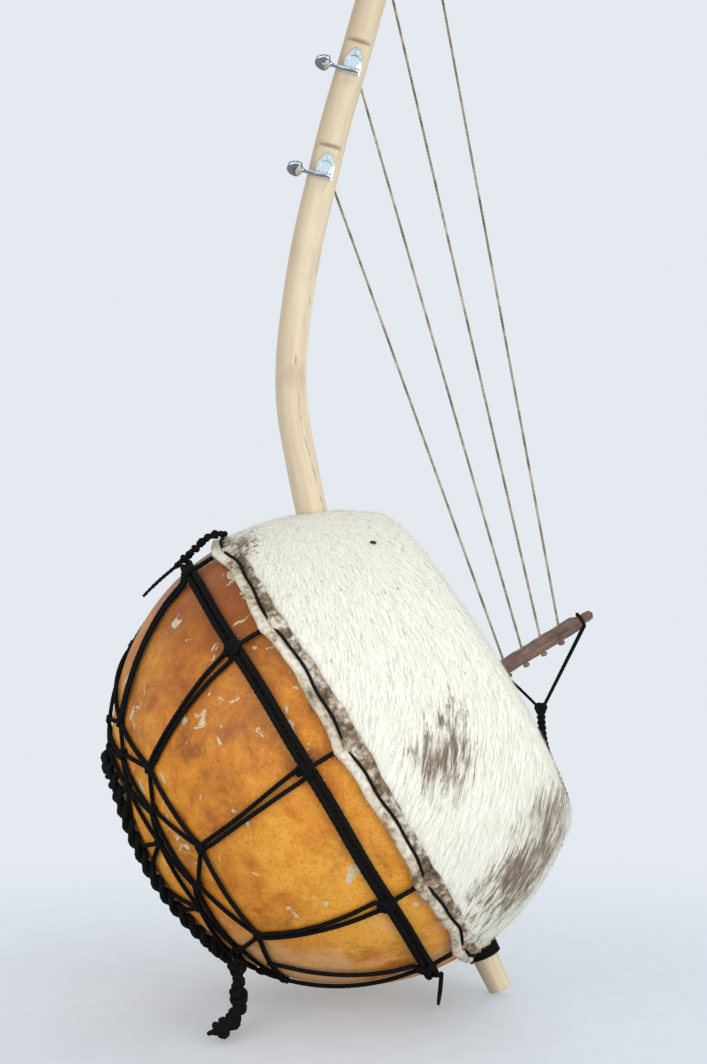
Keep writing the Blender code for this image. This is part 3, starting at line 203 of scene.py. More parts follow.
class BolonColours(bpy.types.PropertyGroup):
    """Colours that a maker would change."""

    gourd: colour_setting("Gourd", "Main colour of the gourd's skin", "#D07F24")
    gourd_pale: colour_setting("Gourd, pale", "Where the skin is worn", "#E6A038")
    gourd_dark: colour_setting("Gourd, dark", "Where the skin is stained", "#8C4F1E")
    flake: colour_setting("Flakes", "Dried pith that clings to the gourd", "#D8CCA6")
    hair: colour_setting("Hair", "White hair of the hide", "#F4F3E7")
    hair_shade: colour_setting("Hair, shaded", "Hair near the skin", "#F0ECDE")
    hair_brown: colour_setting("Hair, brown", "Brown patches of the hide", "#72573D")
    flesh: colour_setting("Flesh side", "Bare side of the hide on its rolled hem", "#C3B69E")
    cord: colour_setting("Cord", "Black lacing cord", "#080707")
    wood: colour_setting("Neck wood", "Peeled wood of the neck", "#DCCAAB")
    bridge: colour_setting("Bridge wood", "Weathered wood of the bridge", "#654A3D")
    fibre: colour_setting("String fibre", "Twisted string", "#998B77")
    floor: colour_setting("Floor", "Pale studio floor", "#E4EAF0")


class BolonStage(bpy.types.PropertyGroup):
    """Camera and light."""

    azimuth: number_setting(
        "Azimuth", "Turn of the camera round the object", math.radians(-5.05), subtype="ANGLE"
    )
    elevation: number_setting("Elevation", "Height angle of the camera", 0.0, subtype="ANGLE")
    distance: number_setting("Distance", "Camera to object", 2.1, subtype="DISTANCE", unit="LENGTH")
    lens: number_setting("Lens", "Focal length in millimetres", 2108 / 1064 * 36)
    aim: bpy.props.FloatVectorProperty(
        name="Aim",
        description="Point that the camera looks at",
        subtype="XYZ",
        default=(-0.14798, 0, 0.45733),
    )
    key: number_setting("Key light", "Power of the main lamp", 40, subtype="POWER")
    fill: number_setting("Fill light", "Power of the fill lamp", 24, subtype="POWER")


def sizes():
    return bpy.context.scene.bolon_sizes


def colours():
    return bpy.context.scene.bolon_colours


# Paths and surfaces of the bowl


def bowl_to_world(local):
    local = np.asarray(local, float)
    c, s = math.cos(BOWL_TILT), math.sin(BOWL_TILT)
    x = local[..., 0] * c + local[..., 2] * s + BOWL_CENTRE[0]
    z = -local[..., 0] * s + local[..., 2] * c + BOWL_CENTRE[2]
    return np.stack((x, local[..., 1], z), -1)


def off_gourd(height, lift):
    """Radius and height of a point that stands lift off the gourd's skin."""
    height = np.asarray(height, float)
    half = np.where(height > 0, FRONT_HALF, BACK_HALF)
    ring = GOURD_RADIUS * np.sqrt(np.maximum(0, 1 - (height / half) ** 2))
    out, up = ring / GOURD_RADIUS**2, height / half**2
    size = np.hypot(out, up)
    return ring + lift * out / size, height + lift * up / size


def spun(rho, height, angle):
    rho, height, turn = np.broadcast_arrays(rho, height, np.radians(angle))
    return bowl_to_world(np.stack((-rho * np.sin(turn), -rho * np.cos(turn), height), -1))


def on_gourd(height, angle, lift):
    return spun(*off_gourd(height, lift), angle)


def away(height, angle):
    """Outward direction of the gourd's skin."""
    return on_gourd(height, angle, 1.0) - on_gourd(height, angle, 0.0)


def through(knots, count):
    """Catmull-Rom points through the knots, count for each span."""
    knots = np.asarray(knots, float)
    padded = np.concatenate((2 * knots[:1] - knots[1:2], knots, 2 * knots[-1:] - knots[-2:-1]))
    t = np.arange(count)[:, None] / count
    rows = []
    for a, b, c, d in zip(padded, padded[1:], padded[2:], padded[3:]):
        curve = 2 * b + (c - a) * t + (2 * a - 5 * b + 4 * c - d) * t**2 + (3 * b - a - 3 * c + d) * t**3
        rows.append(curve / 2)
    return np.concatenate((*rows, knots[-1:]))


def travelled(path):
    steps = np.linalg.norm(np.diff(path[:, :3], axis=0), axis=1)
    return np.concatenate(([0], np.cumsum(steps)))


def at_distance(path, gone, at):
    """Rows of a path at given distances along it."""
    return np.stack([np.interp(at, gone, path[:, i]) for i in range(path.shape[1])], 1)


def even(path, step):
    """The same path with points about step apart."""
    gone = travelled(path)
    count = max(3, int(round(gone[-1] / step)) + 1)
    return at_distance(path, gone, np.linspace(0, gone[-1], count))


def unit(vectors):
    return vectors / np.maximum(1e-9, np.linalg.norm(vectors, axis=-1, keepdims=True))


def tangents(path):
    return unit(np.gradient(path, axis=0))


def swing(turn, first, second):
    """Directions turned from the first axis towards the second."""
    return np.cos(turn)[..., None] * first + np.sin(turn)[..., None] * second


def gourd_run(knots, count):
    """A path over the gourd through (height, angle, lift) knots."""
    return on_gourd(*through(knots, count).T)


def braid(path, width, depth, pitch, up, closed=False):
    """Three strands that cross each other along the path."""
    gone = travelled(path)
    tangent = tangents(path)
    if closed:
        tangent = unit(np.roll(path, -1, 0) - np.roll(path, 1, 0))
        whole = gone[-1] + np.linalg.norm(path[0] - path[-1])
        pitch = whole / round(whole / pitch)
    side = unit(np.cross(up, tangent))
    lift = np.cross(tangent, side)
    strands = []
    for k in range(3):
        phase = (TURN * (gone / pitch + k / 3))[:, None]
        strands.append(path + side * width * np.sin(phase) + lift * depth * np.sin(2 * phase))
    return strands


def ring_height(angle):
    """Height on the gourd of the ring at its back, an oblong loop with nearly straight sides."""
    turn = np.radians(angle)
    sides = np.abs(np.cos(turn) / RING_HALVES[0]), np.abs(np.sin(turn) / RING_HALVES[1])
    rho = (sides[0] ** RING_SQUARE + sides[1] ** RING_SQUARE) ** (-1 / RING_SQUARE)
    return -BACK_HALF * np.sqrt(1 - (rho / GOURD_RADIUS) ** 2)


def onward(spots):
    """The next spot round the gourd for each (height, angle) spot."""
    return [*spots[1:], (spots[0][0], spots[0][1] + 360)]


def hem_height(angle):
    """Height of the hem's roll, which the ties pull back and which bows forward between them."""
    angle = np.asarray(angle, float)
    ties = np.array(HOOP_ANGLES)
    bounds = np.append(ties, ties[0] + 360)
    turned = (angle - ties[0]) % 360 + ties[0]
    slot = np.clip(np.searchsorted(bounds, turned, side="right") - 1, 0, len(ties) - 1)
    share = (turned - bounds[slot]) / (bounds[slot + 1] - bounds[slot])
    bow = np.sin(math.pi * share) ** 0.7
    ripple = 1.2 * np.sin(np.radians(turned * 13)) + 0.8 * np.sin(np.radians(turned * 29) + 1)
    return HEM_HEIGHT + np.array(SCALLOPS)[slot] * bow + ripple * bow


def flap_edge(angle):
    """Height of the flap's cut edge, which runs straighter than the roll."""
    turn = np.radians(np.asarray(angle, float))
    edge = 15 + 1.6 * np.sin(3 * turn + 1) + 1.2 * np.sin(7 * turn)
    return edge + 0.6 * np.sin(31 * turn) + 0.4 * np.sin(57 * turn)


# Meshes


def plain_object(name, mesh, material=None):
    obj = bpy.data.objects.new(name, mesh)
    bpy.context.scene.collection.objects.link(obj)
    if material:
        mesh.materials.clear()
        mesh.materials.append(material)
    return obj


def mesh_object(name, points, faces, material=None, edges=(), **attributes):
    """An object from points in millimetres; doubles are merged and faces turned outwards."""
    mesh = bpy.data.meshes.new(name)
    mesh.from_pydata((np.asarray(points) * MM).tolist(), list(edges), [tuple(f) for f in faces])
    for key, values in attributes.items():
        values = np.asarray(values, np.float32)
        kind, field = ("FLOAT", "value") if values.ndim == 1 else ("FLOAT_VECTOR", "vector")
        mesh.attributes.new(key, kind, "POINT").data.foreach_set(field, values.ravel())
    if len(faces):
        work = bmesh.new()
        work.from_mesh(mesh)
        bmesh.ops.remove_doubles(work, verts=work.verts, dist=1e-7)
        bmesh.ops.dissolve_degenerate(work, edges=work.edges, dist=1e-8)
        bmesh.ops.recalc_face_normals(work, faces=work.faces)
        work.to_mesh(mesh)
        work.free()
    mesh.shade_smooth()
    return plain_object(name, mesh, material)


def grid_faces(rows, columns, ends=False):
    """Faces of a grid of rings, each ring closed on itself, with its two ends if wanted."""
    first = np.arange(rows - 1)[:, None] * columns
    here = np.arange(columns)[None, :]
    there = (here + 1) % columns
    quads = np.stack((first + here, first + there, first + columns + there, first + columns + here), -1)
    faces = quads.reshape(-1, 4).tolist()
    if ends:
        faces += [tuple(range(columns)), tuple(range((rows - 1) * columns, rows * columns))]
    return faces


def lathe(profile, start, axis, sides):
    """Points and faces of a turned form: profile is (radius, along) from the start point."""
    profile = np.asarray(profile, float)
    axis = unit(np.asarray(axis, float))
    side = unit(np.cross(axis, ASIDE if abs(axis[1]) < 0.9 else (1.0, 0, 0)))
    ring = swing(np.arange(sides) * TURN / sides, side, np.cross(side, axis))
    points = np.asarray(start) + profile[:, 1, None, None] * axis + profile[:, 0, None, None] * ring
    return points.reshape(-1, 3), grid_faces(len(profile), sides)


def evaluated(obj, **kept):
    """The object's mesh with its modifiers applied."""
    graph = bpy.context.evaluated_depsgraph_get()
    return bpy.data.meshes.new_from_object(obj.evaluated_get(graph), depsgraph=graph, **kept)


def settled(host, name, tree, values, keep=False):
    """Runs a node tree on the host and gives its result as a plain piece."""
    modifier = host.modifiers.new(tree.name, "NODES")
    modifier.node_group = tree
    found = {item.name: item.identifier for item in tree.interface.items_tree if item.in_out == "INPUT"}
    for key, value in values.items():
        modifier[found[key]] = value
    mesh = evaluated(host, preserve_all_data_layers=True)
    mesh.name = name
    host.modifiers.remove(modifier)
    if not keep:
        bpy.data.objects.remove(host)
    if not mesh.polygons:
        raise RuntimeError(f"{name}: its node tree made no faces")
    return plain_object(name, mesh)


def cut(obj, cutter):
    """Takes the cutter's form out of the piece."""
    modifier = obj.modifiers.new("hole", "BOOLEAN")
    modifier.operation = "DIFFERENCE"
    modifier.solver = "EXACT"
    modifier.object = cutter
    mesh = evaluated(obj, preserve_all_data_layers=True)
    obj.modifiers.remove(modifier)
    obj.data = mesh
    bpy.data.objects.remove(cutter)


def sharpen(obj, degrees):
    obj.data.set_sharp_from_angle(angle=math.radians(degrees))
    return obj


def dress(obj, body, *nodes, slot):
    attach(obj, body)
    if nodes:
        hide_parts(*nodes)


# Node trees


class Wiring:
    """Adds nodes to one tree and gives back the sockets that they put out."""

    def __init__(self, tree):
        self.tree = tree

    def node(self, kind, inputs=None, **settings):
        made = self.tree.nodes.new(kind)
        for key, value in settings.items():
            setattr(made, key, value)
        for key, value in (inputs or {}).items():
            self.feed(made.inputs[key], value)
        return made.outputs

    def one(self, kind, inputs=None, **settings):
        return self.node(kind, inputs, **settings)[0]

    def feed(self, socket, value):
        if isinstance(value, bpy.types.NodeSocket):
            self.tree.links.new(value, socket)
        elif socket.type == "RGBA":
            socket.default_value = opaque(value)
        else:
            socket.default_value = value

    def sum(self, operation, a, b=0.0):
        return self.one("ShaderNodeMath", {0: a, 1: b}, operation=operation)

    plus = partialmethod(sum, "ADD")
    minus = partialmethod(sum, "SUBTRACT")
    times = partialmethod(sum, "MULTIPLY")
    over = partialmethod(sum, "DIVIDE")
    most = partialmethod(sum, "MAXIMUM")

    def sway(self, value, size):
        """A value about a half, made one about nothing."""
        return self.times(self.minus(value, 0.5), size)

    def arrow(self, operation, a, b=(0, 0, 0), scale=None):
        inputs = {0: a, 1: b} if scale is None else {0: a, 3: scale}
        made = self.node("ShaderNodeVectorMath", inputs, operation=operation)
        return made[1 if operation in ("LENGTH", "DOT_PRODUCT", "DISTANCE") else 0]

    def split(self, vector):
        return self.node("ShaderNodeSeparateXYZ", {0: vector})

    def join(self, x, y, z):
        return self.one("ShaderNodeCombineXYZ", {0: x, 1: y, 2: z})

    def noise(self, vector, scale, detail, rough, warp=0.0):
        inputs = {"Vector": vector, "Scale": scale, "Detail": detail, "Roughness": rough, "Distortion": warp}
        return self.one("ShaderNodeTexNoise", inputs)

    def band(self, value, low, high, start=0.0, end=1.0):
        inputs = {0: value, 1: low, 2: high, 3: start, 4: end}
        return self.one("ShaderNodeMapRange", inputs, interpolation_type="SMOOTHSTEP")

    def mix(self, share, a, b):
        return self.node("ShaderNodeMix", {0: share, 6: a, 7: b}, data_type="RGBA")[2]

    def stain(self, colour, other, value, low, high, end=1.0, start=0.0):
        """The other colour over this one, as the value goes from low to high."""
        return self.mix(self.band(value, low, high, start, end), colour, other)

    def ramp(self, value, *stops):
        made = self.tree.nodes.new("ShaderNodeValToRGB")
        self.feed(made.inputs[0], value)
        elements = made.color_ramp.elements
        while len(elements) < len(stops):
            elements.new(0.5)
        for element, (at, colour) in zip(elements, stops):
            element.position = at
            element.color = opaque(colour)
        return made.outputs[0]

    def attribute(self, name, output="Fac"):
        return self.node("ShaderNodeAttribute", attribute_name=name)[output]

    def place(self):
        return self.node("ShaderNodeTexCoord")["Object"]

    def bump(self, height, strength, distance):
        return self.one("ShaderNodeBump", {"Height": height, "Strength": strength, "Distance": distance})

    def group(self, tree, inputs):
        return self.node("ShaderNodeGroup", inputs, node_tree=tree)

    def named(self, name, kind="FLOAT"):
        return self.one("GeometryNodeInputNamedAttribute", {0: name}, data_type=kind)

    def store(self, geometry, name, value, kind="FLOAT", domain="POINT"):
        inputs = {0: geometry, 2: name, 3: value}
        return self.one("GeometryNodeStoreNamedAttribute", inputs, data_type=kind, domain=domain)

    def close(self, geometry, material, out):
        """Ends a geometry tree in plain faces with their finish."""
        plain = self.one("GeometryNodeRealizeInstances", {0: geometry})
        self.feed(out[0], self.one("GeometryNodeSetMaterial", {0: plain, 2: material}))


def shared(name, inputs, outputs, kind="ShaderNodeTree"):
    """Turns a function that wires a node group into one that gives the group, wired when first wanted.

    A socket is given by its type's name, or by a number that is its default.
    """

    def add_sockets(tree, side, sockets):
        for label, value in sockets.items():
            kinds = {int: "Int", float: "Float"}
            word = "NodeSocket" + kinds.get(type(value), str(value))
            made = tree.interface.new_socket(label, in_out=side, socket_type=word)
            if type(value) in kinds:
                made.default_value = value

    def wrap(fill):
        def group():
            if name not in bpy.data.node_groups:
                tree = bpy.data.node_groups.new(name, kind)
                add_sockets(tree, "INPUT", inputs)
                add_sockets(tree, "OUTPUT", outputs)
                given = tree.nodes.new("NodeGroupInput").outputs
                fill(Wiring(tree), given, tree.nodes.new("NodeGroupOutput").inputs)
            return bpy.data.node_groups[name]

        return group

    return wrap


@shared(
    "laid cord",
    {
        "Lines": "Geometry", "Lay": 0.02, "Step": 0.002, "Sides": 8, "Strands": 3.0, "Groove": 0.1,
        "Finish": "Material",
    },
    {"Cord": "Geometry"},
    "GeometryNodeTree",
)
def laid_cord_tree(w, given, out):
    """Cord laid along the host's lines: a grooved round section that twists as it goes."""
    line = w.one("GeometryNodeMeshToCurve", {0: given["Lines"]})
    thick = w.named("thick")
    line = w.one("GeometryNodeSetCurveRadius", {0: line, 2: thick})
    line = w.one("GeometryNodeResampleCurve", {0: line, 3: given["Step"]}, mode="LENGTH")
    gone = w.node("GeometryNodeSplineParameter")["Length"]
    line = w.one("GeometryNodeSetCurveTilt", {0: line, 2: w.times(w.over(gone, given["Lay"]), TURN)})
    line = w.store(line, "along", gone)
    ring = w.one("GeometryNodeCurvePrimitiveCircle", {0: given["Sides"], 4: 1.0})
    spot = w.one("GeometryNodeInputPosition")
    ring = w.store(ring, "round", spot, "FLOAT_VECTOR")
    parts = w.split(spot)
    turn = w.sum("ARCTAN2", parts[1], parts[0])
    dip = w.minus(0.5, w.times(w.sum("COSINE", w.times(turn, given["Strands"])), 0.5))
    shrink = w.minus(1.0, w.times(dip, given["Groove"]))
    ring = w.one("GeometryNodeSetPosition", {0: ring, 2: w.arrow("SCALE", spot, scale=shrink)})
    cord = w.one("GeometryNodeCurveToMesh", {0: line, 1: ring, 2: thick, 3: True})
    w.close(w.one("GeometryNodeSetShadeSmooth", {0: cord}), given["Finish"], out)


@shared(
    "hair coat",
    {
        "Hide": "Geometry", "Hair": "Object", "Density": 100000.0, "Length": 0.009, "Width": 0.0005,
        "Lift": 0.16, "Seed": 4, "Finish": "Material",
    },
    {"Coat": "Geometry"},
    "GeometryNodeTree",
)
def hair_tree(w, given, out):
    """Hairs strewn over the haired side of the hide, lying along its flow."""

    def chance(low, high, seed):
        return w.node("FunctionNodeRandomValue", {2: low, 3: high, 8: seed}, data_type="FLOAT")[1]

    haired = w.sum("GREATER_THAN", w.named("haired"), 0.5)
    strewn = w.node(
        "GeometryNodeDistributePointsOnFaces",
        {0: given["Hide"], 1: haired, 4: given["Density"], 6: given["Seed"]},
    )
    spread = 0.17
    stray = w.one(
        "FunctionNodeRandomValue", {0: (-spread,) * 3, 1: (spread,) * 3, 8: 11}, data_type="FLOAT_VECTOR"
    )
    rise = w.arrow("SCALE", strewn[1], scale=w.times(given["Lift"], chance(0.4, 1.6, 5)))
    lie = w.arrow("ADD", w.arrow("ADD", w.named("flow", "FLOAT_VECTOR"), stray), rise)
    turn = w.one("FunctionNodeAxesToRotation", {0: lie, 1: strewn[1]}, primary_axis="X", secondary_axis="Z")
    wide = w.times(given["Width"], chance(0.7, 1.3, 21))
    long = w.times(given["Length"], w.band(w.named("hem"), 1.0, 1.5, 1.0, 0.4))
    scale = w.join(w.times(long, chance(0.6, 1.4, 9)), wide, wide)
    hair = w.node("GeometryNodeObjectInfo", {0: given["Hair"]})["Geometry"]
    coat = w.one("GeometryNodeInstanceOnPoints", {0: strewn[0], 2: hair, 5: turn, 6: scale})
    w.close(w.store(coat, "shade", chance(0.0, 1.0, 33), domain="INSTANCE"), given["Finish"], out)


@shared(
    "tied knots",
    {"Points": "Geometry", "Knot": "Object", "Finish": "Material"},
    {"Knots": "Geometry"},
    "GeometryNodeTree",
)
def knot_tree(w, given, out):
    """A tied knot on each point of the host, turned to its surface."""
    points = w.one("GeometryNodeMeshToPoints", {0: given["Points"]})
    axes = {0: w.named("up", "FLOAT_VECTOR"), 1: w.named("lead", "FLOAT_VECTOR")}
    turn = w.one("FunctionNodeAxesToRotation", axes, primary_axis="Z", secondary_axis="X")
    knot = w.node("GeometryNodeObjectInfo", {0: given["Knot"]})["Geometry"]
    made = w.one("GeometryNodeInstanceOnPoints", {0: points, 2: knot, 5: turn, 6: w.named("size")})
    w.close(made, given["Finish"], out)


def cords(name, runs, material, lay=16.0, step=2.0, sides=8, strands=3, groove=0.12):
    """One piece of cord along several runs: each is (points, radius or radii, closed)."""
    points, thick, edges, at = [], [], [], 0
    for path, radius, closed in runs:
        count = len(path)
        points.append(path[:, :3])
        thick.append(np.broadcast_to(np.asarray(radius, float), count) * MM)
        edges += [(at + i, at + i + 1) for i in range(count - 1)]
        if closed:
            edges.append((at + count - 1, at))
        at += count
    host = mesh_object(name + "_line", np.concatenate(points), [], edges=edges, thick=np.concatenate(thick))
    values = {"Lay": lay * MM, "Step": step * MM, "Sides": sides, "Strands": float(strands)}
    return settled(host, name, laid_cord_tree(), {**values, "Groove": groove, "Finish": material})


def knot_form():
    """A lump of cord wound on itself, one across before it is sized."""
    turn = np.linspace(0, TURN, 72, endpoint=False)
    reach = 0.21 + 0.105 * np.cos(3 * turn)
    return np.stack((reach * np.cos(2 * turn), reach * np.sin(2 * turn), 0.13 * np.sin(3 * turn)), 1)


def knots(name, spots, material, thread=KNOT_THREAD):
    """Knots on spots, each (point, up, lead, size)."""
    lump = cords("knot_lump", [(knot_form() / MM, thread / MM, True)], material, 400, 40, groove=0.0)
    points, up, lead, size = (np.array(column, float) for column in zip(*spots))
    host = mesh_object(name + "_spots", points, [], up=up, lead=lead, size=size * MM)
    piece = settled(host, name, knot_tree(), {"Knot": lump, "Finish": material})
    bpy.data.objects.remove(lump)
    piece.data.shade_smooth()
    return piece


def lumps(path, up, size, spacing):
    """Runs of cord knotted on themselves one after another along a path, as in a chain of hitches."""
    gone = travelled(path)
    tangent = tangents(path)
    count = int(round(gone[-1] / spacing))
    runs = []
    for i in range(count):
        at = int(np.searchsorted(gone, (i + 0.5) * gone[-1] / count))
        side = unit(np.cross(up[at], tangent[at]))
        lift = np.cross(tangent[at], side)
        lean = 0.4 + 1.3 * i
        across = math.cos(lean) * side + math.sin(lean) * lift
        axes = np.stack((tangent[at], across, np.cross(tangent[at], across)))
        grown = size * (1 + 0.07 * math.sin(4.1 * i))
        runs.append((path[at] + knot_form() * grown @ axes, KNOT_THREAD * grown, True))
    return runs


# Shader groups


@shared("Mottle", {"Vector": "Vector", "Broad": 6.0, "Fine": 40.0, "Share": 0.4}, {"Tone": "Float"})
def mottle_group(w, given, out):
    """Two sizes of uneven tone in one value."""
    broad = w.noise(given["Vector"], given["Broad"], 3, 0.5)
    fine = w.noise(given["Vector"], given["Fine"], 4, 0.6)
    w.feed(out["Tone"], w.one("ShaderNodeMix", {0: given["Share"], 2: broad, 3: fine}, data_type="FLOAT"))


@shared("Cord lay", {"Pitch": 0.004, "Fuzz": 900.0}, {"Height": "Float", "Fibre": "Float"})
def lay_group(w, given, out):
    """Height and tone of a plaited cord's surface, from its own length and round."""
    around = w.split(w.attribute("round", "Vector"))
    turn = w.times(w.sum("ARCTAN2", around[1], around[0]), 4.0)
    gone = w.times(w.over(w.attribute("along"), given["Pitch"]), TURN)
    plait = w.most(w.sum("SINE", w.plus(gone, turn)), w.sum("SINE", w.minus(gone, turn)))
    fibre = w.noise(w.place(), given["Fuzz"], 3, 0.6)
    w.feed(out["Height"], w.plus(w.times(plait, 0.5), fibre))
    w.feed(out["Fibre"], fibre)


@shared("Metal haze", {"Low": 0.08, "High": 0.25}, {"Roughness": "Float", "Haze": "Float"})
def haze_group(w, given, out):
    """Fine rubbed haze of worn metal, in one value."""
    haze = w.noise(w.place(), 420.0, 4, 0.6)
    w.feed(out["Roughness"], w.one("ShaderNodeMapRange", {0: haze, 3: given["Low"], 4: given["High"]}))
    w.feed(out["Haze"], haze)


@shared(
    "Hair tone",
    {"Vector": "Vector", "Shade": 0.5, "Hair": "Color", "Shaded": "Color", "Brown": "Color"},
    {"Color": "Color", "Streak": "Float"},
)
def hair_group(w, given, out):
    """Colour of the hide's hair by place: cream streaks, brown patches and flecks."""
    place, shade = given["Vector"], given["Shade"]
    parts = w.split(place)
    swept = w.times(parts[2], w.minus(w.times(parts[2], 0.929), 0.636))
    combed = w.join(w.plus(parts[0], swept), parts[1], w.over(parts[2], 11.0))
    streak = w.noise(combed, 420.0, 4, 0.65, 0.3)
    tone = w.plus(w.times(streak, 0.75), w.times(shade, 0.25))
    base = w.stain(given["Shaded"], given["Hair"], tone, 0.3, 0.58)
    base = w.stain(base, given["Shaded"], w.noise(place, 9.0, 4, 0.6), 0.5, 0.75, 0.35)
    broken = w.sway(w.noise(combed, 210.0, 4, 0.7, 0.3), 5.5)
    ragged = w.sway(w.noise(place, 26.0, 4, 0.6), 1.7)
    patch = -1.2
    for centre, across, lean in BROWN_PATCHES:
        inputs = {
            0: place,
            1: tuple(c * MM for c in centre),
            2: (0, math.radians(lean), 0),
            3: tuple(a * MM for a in across),
        }
        spot = w.one("ShaderNodeMapping", inputs, vector_type="TEXTURE")
        patch = w.most(patch, w.minus(1.0, w.arrow("LENGTH", spot)))
    core = w.plus(w.sum("MINIMUM", w.plus(patch, ragged), 0.7), w.sway(shade, 0.9))
    brown = w.band(w.plus(core, w.times(broken, 0.6)), -0.05, 0.75)
    fleck = w.band(w.noise(combed, 130.0, 2, 0.5), 0.67, 0.78, 0.0, 0.55)
    fleck = w.most(fleck, w.band(shade, 0.955, 0.97, 0.0, 0.45))
    fleck = w.times(fleck, w.band(parts[2], 0.2, 0.45, 0.3, 1.0))
    w.feed(out["Color"], w.mix(w.most(w.times(brown, 0.9), fleck), base, given["Brown"]))
    w.feed(out["Streak"], streak)


# Finishes: each gives what goes into the shader of its material


def gourd_skin(w, c):
    place = w.place()
    tone = w.group(mottle_group(), {"Vector": place, "Broad": 9.0, "Fine": 55.0, "Share": 0.4})["Tone"]
    colour = w.ramp(tone, (0.31, c.gourd_dark), (0.45, c.gourd), (0.6, c.gourd_pale))
    smudge = w.noise(place, 14.0, 8, 0.74, 0.5)
    colour = w.stain(colour, c.gourd_dark, smudge, 0.5, 0.7, 0.75)
    speck = w.noise(place, 330.0, 3, 0.6)
    colour = w.stain(colour, c.gourd_dark, speck, 0.5, 0.7, 0.4)
    colour = w.stain(colour, c.gourd_pale, w.noise(place, 210.0, 3, 0.6), 0.55, 0.72, 0.35)
    # Painted light by height: the upper gourd is darkened as painted shade, and its bottom is paled as a
    # painted reflection of the pale floor.
    high = w.split(place)[2]
    uneven = w.plus(high, w.sway(smudge, 0.35))
    colour = w.stain(colour, "#944E1D", uneven, 0.24, 0.42, 0.9)
    colour = w.stain(colour, "#E2B07E", uneven, 0.015, 0.09, 0.0, 0.7)
    patchy = w.times(w.noise(place, 5.0, 2, 0.5), 0.12)
    patchy = w.plus(patchy, w.band(high, 0.05, 0.4, -0.025, 0.015))
    flake = w.band(w.plus(w.noise(place, 44.0, 4, 0.6, 0.9), patchy), 0.695, 0.705)
    height = w.plus(w.times(speck, 0.25), w.times(flake, 0.6))
    return {
        "Base Color": w.mix(flake, colour, w.mix(speck, c.flake, "#B7AC8C")),
        "Roughness": w.band(tone, 0.3, 0.7, 0.42, 0.56),
        "Specular IOR Level": 0.3,
        "Normal": w.bump(w.plus(height, w.times(smudge, 0.5)), 0.35, 0.0008),
    }


def hide_skin(w, c, strands=False):
    """The hide's hair; on the sheet itself, its bare flesh side on the rolled hem as well."""
    place = w.place()
    shade = w.attribute("shade") if strands else 0.5
    tones = {"Hair": c.hair, "Shaded": c.hair_shade, "Brown": c.hair_brown}
    haired = w.group(hair_group(), {"Vector": place, "Shade": shade, **tones})
    hem = w.attribute("hem")
    mottled = w.group(mottle_group(), {"Vector": place, "Broad": 34.0, "Fine": 190.0, "Share": 0.45})["Tone"]
    roll = w.ramp(mottled, (0.37, "#6F5D48"), (0.48, c.flesh), (0.6, "#E6DFD0"))
    flap = w.ramp(mottled, (0.37, "#4A3929"), (0.49, "#85705A"), (0.6, "#E0D6C5"))
    colour = w.stain(haired["Color"], roll, hem, 0.3, 0.7)
    looks = {
        "Base Color": w.stain(colour, flap, hem, 1.35, 1.7),
        "Roughness": 0.72,
        "Specular IOR Level": 0.3,
    }
    if not strands:
        looks["Normal"] = w.bump(w.plus(haired["Streak"], w.times(mottled, hem)), 0.4, 0.0009)
    return looks


def black_cord(w, c):
    lay = w.group(lay_group(), {"Pitch": 0.0045, "Fuzz": 1100.0})
    return {
        "Base Color": w.stain(c.cord, "#1B1818", lay["Fibre"], 0.45, 0.8),
        "Roughness": w.band(lay["Fibre"], 0.3, 0.7, 0.7, 0.9),
        "Specular IOR Level": 0.22,
        "Normal": w.bump(lay["Height"], 0.5, 0.0006),
    }


def neck_wood(w, c):
    around = w.split(w.attribute("round", "Vector"))
    gone = w.attribute("along")
    radius = 0.0155
    grain_at = w.join(w.times(around[0], radius), w.times(around[1], radius), w.times(gone, 0.07))
    grain = w.noise(grain_at, 260.0, 4, 0.6, 0.3)
    tone = w.plus(w.times(grain, 0.45), w.times(w.noise(grain_at, 60.0, 3, 0.55), 0.55))
    colour = w.ramp(tone, (0.34, "#CBB696"), (0.5, c.wood), (0.66, "#E7DAC0"))
    place = w.place()
    stain = w.noise(place, 24.0, 4, 0.6)
    colour = w.stain(colour, "#B49C7C", stain, 0.55, 0.75, 0.5)
    fleck = w.noise(w.arrow("MULTIPLY", grain_at, (1, 1, 3.2)), 120.0, 2, 0.5)
    colour = w.stain(colour, "#7B6246", fleck, 0.71, 0.78, 0.55)
    # Painted shade: the left side of the neck is darkened as if lit from the right; the neck also darkens
    # towards its top end.
    painted_side_shade_and_top_dark = w.plus(w.band(around[0], -0.35, 0.8, 0.0, 0.5), w.band(gone, 0.7, 1.15, 0.0, 0.22))
    colour = w.mix(painted_side_shade_and_top_dark, colour, "#B09C80")
    # Painted shadow just under the step above each flat.
    colour = w.mix(w.times(w.attribute("notch"), 0.8), colour, "#77604A")
    stray = w.sway(w.noise(place, 45.0, 3, 0.6), 0.3)
    aside = w.plus(w.plus(around[0], stray), w.band(gone, 0.52, 0.62, 0.66, 0.38))
    crack = w.band(w.sum("ABSOLUTE", aside), 0.02, 0.05, 1.0, 0.0)
    crack = w.times(crack, w.band(around[1], -0.1, -0.3))
    dashes = w.band(w.noise(place, 90.0, 3, 0.7), 0.4, 0.6, 0.15, 1.0)
    reach = w.times(w.band(gone, 0.45, 0.47), w.band(gone, 0.62, 0.64, 1.0, 0.0))
    crack = w.times(w.times(crack, dashes), reach)
    return {
        "Base Color": w.mix(w.times(crack, 0.7), colour, "#6A5136"),
        "Roughness": w.band(grain, 0.3, 0.7, 0.48, 0.66),
        "Normal": w.bump(w.plus(grain, w.times(stain, 0.7)), 0.3, 0.0007),
    }


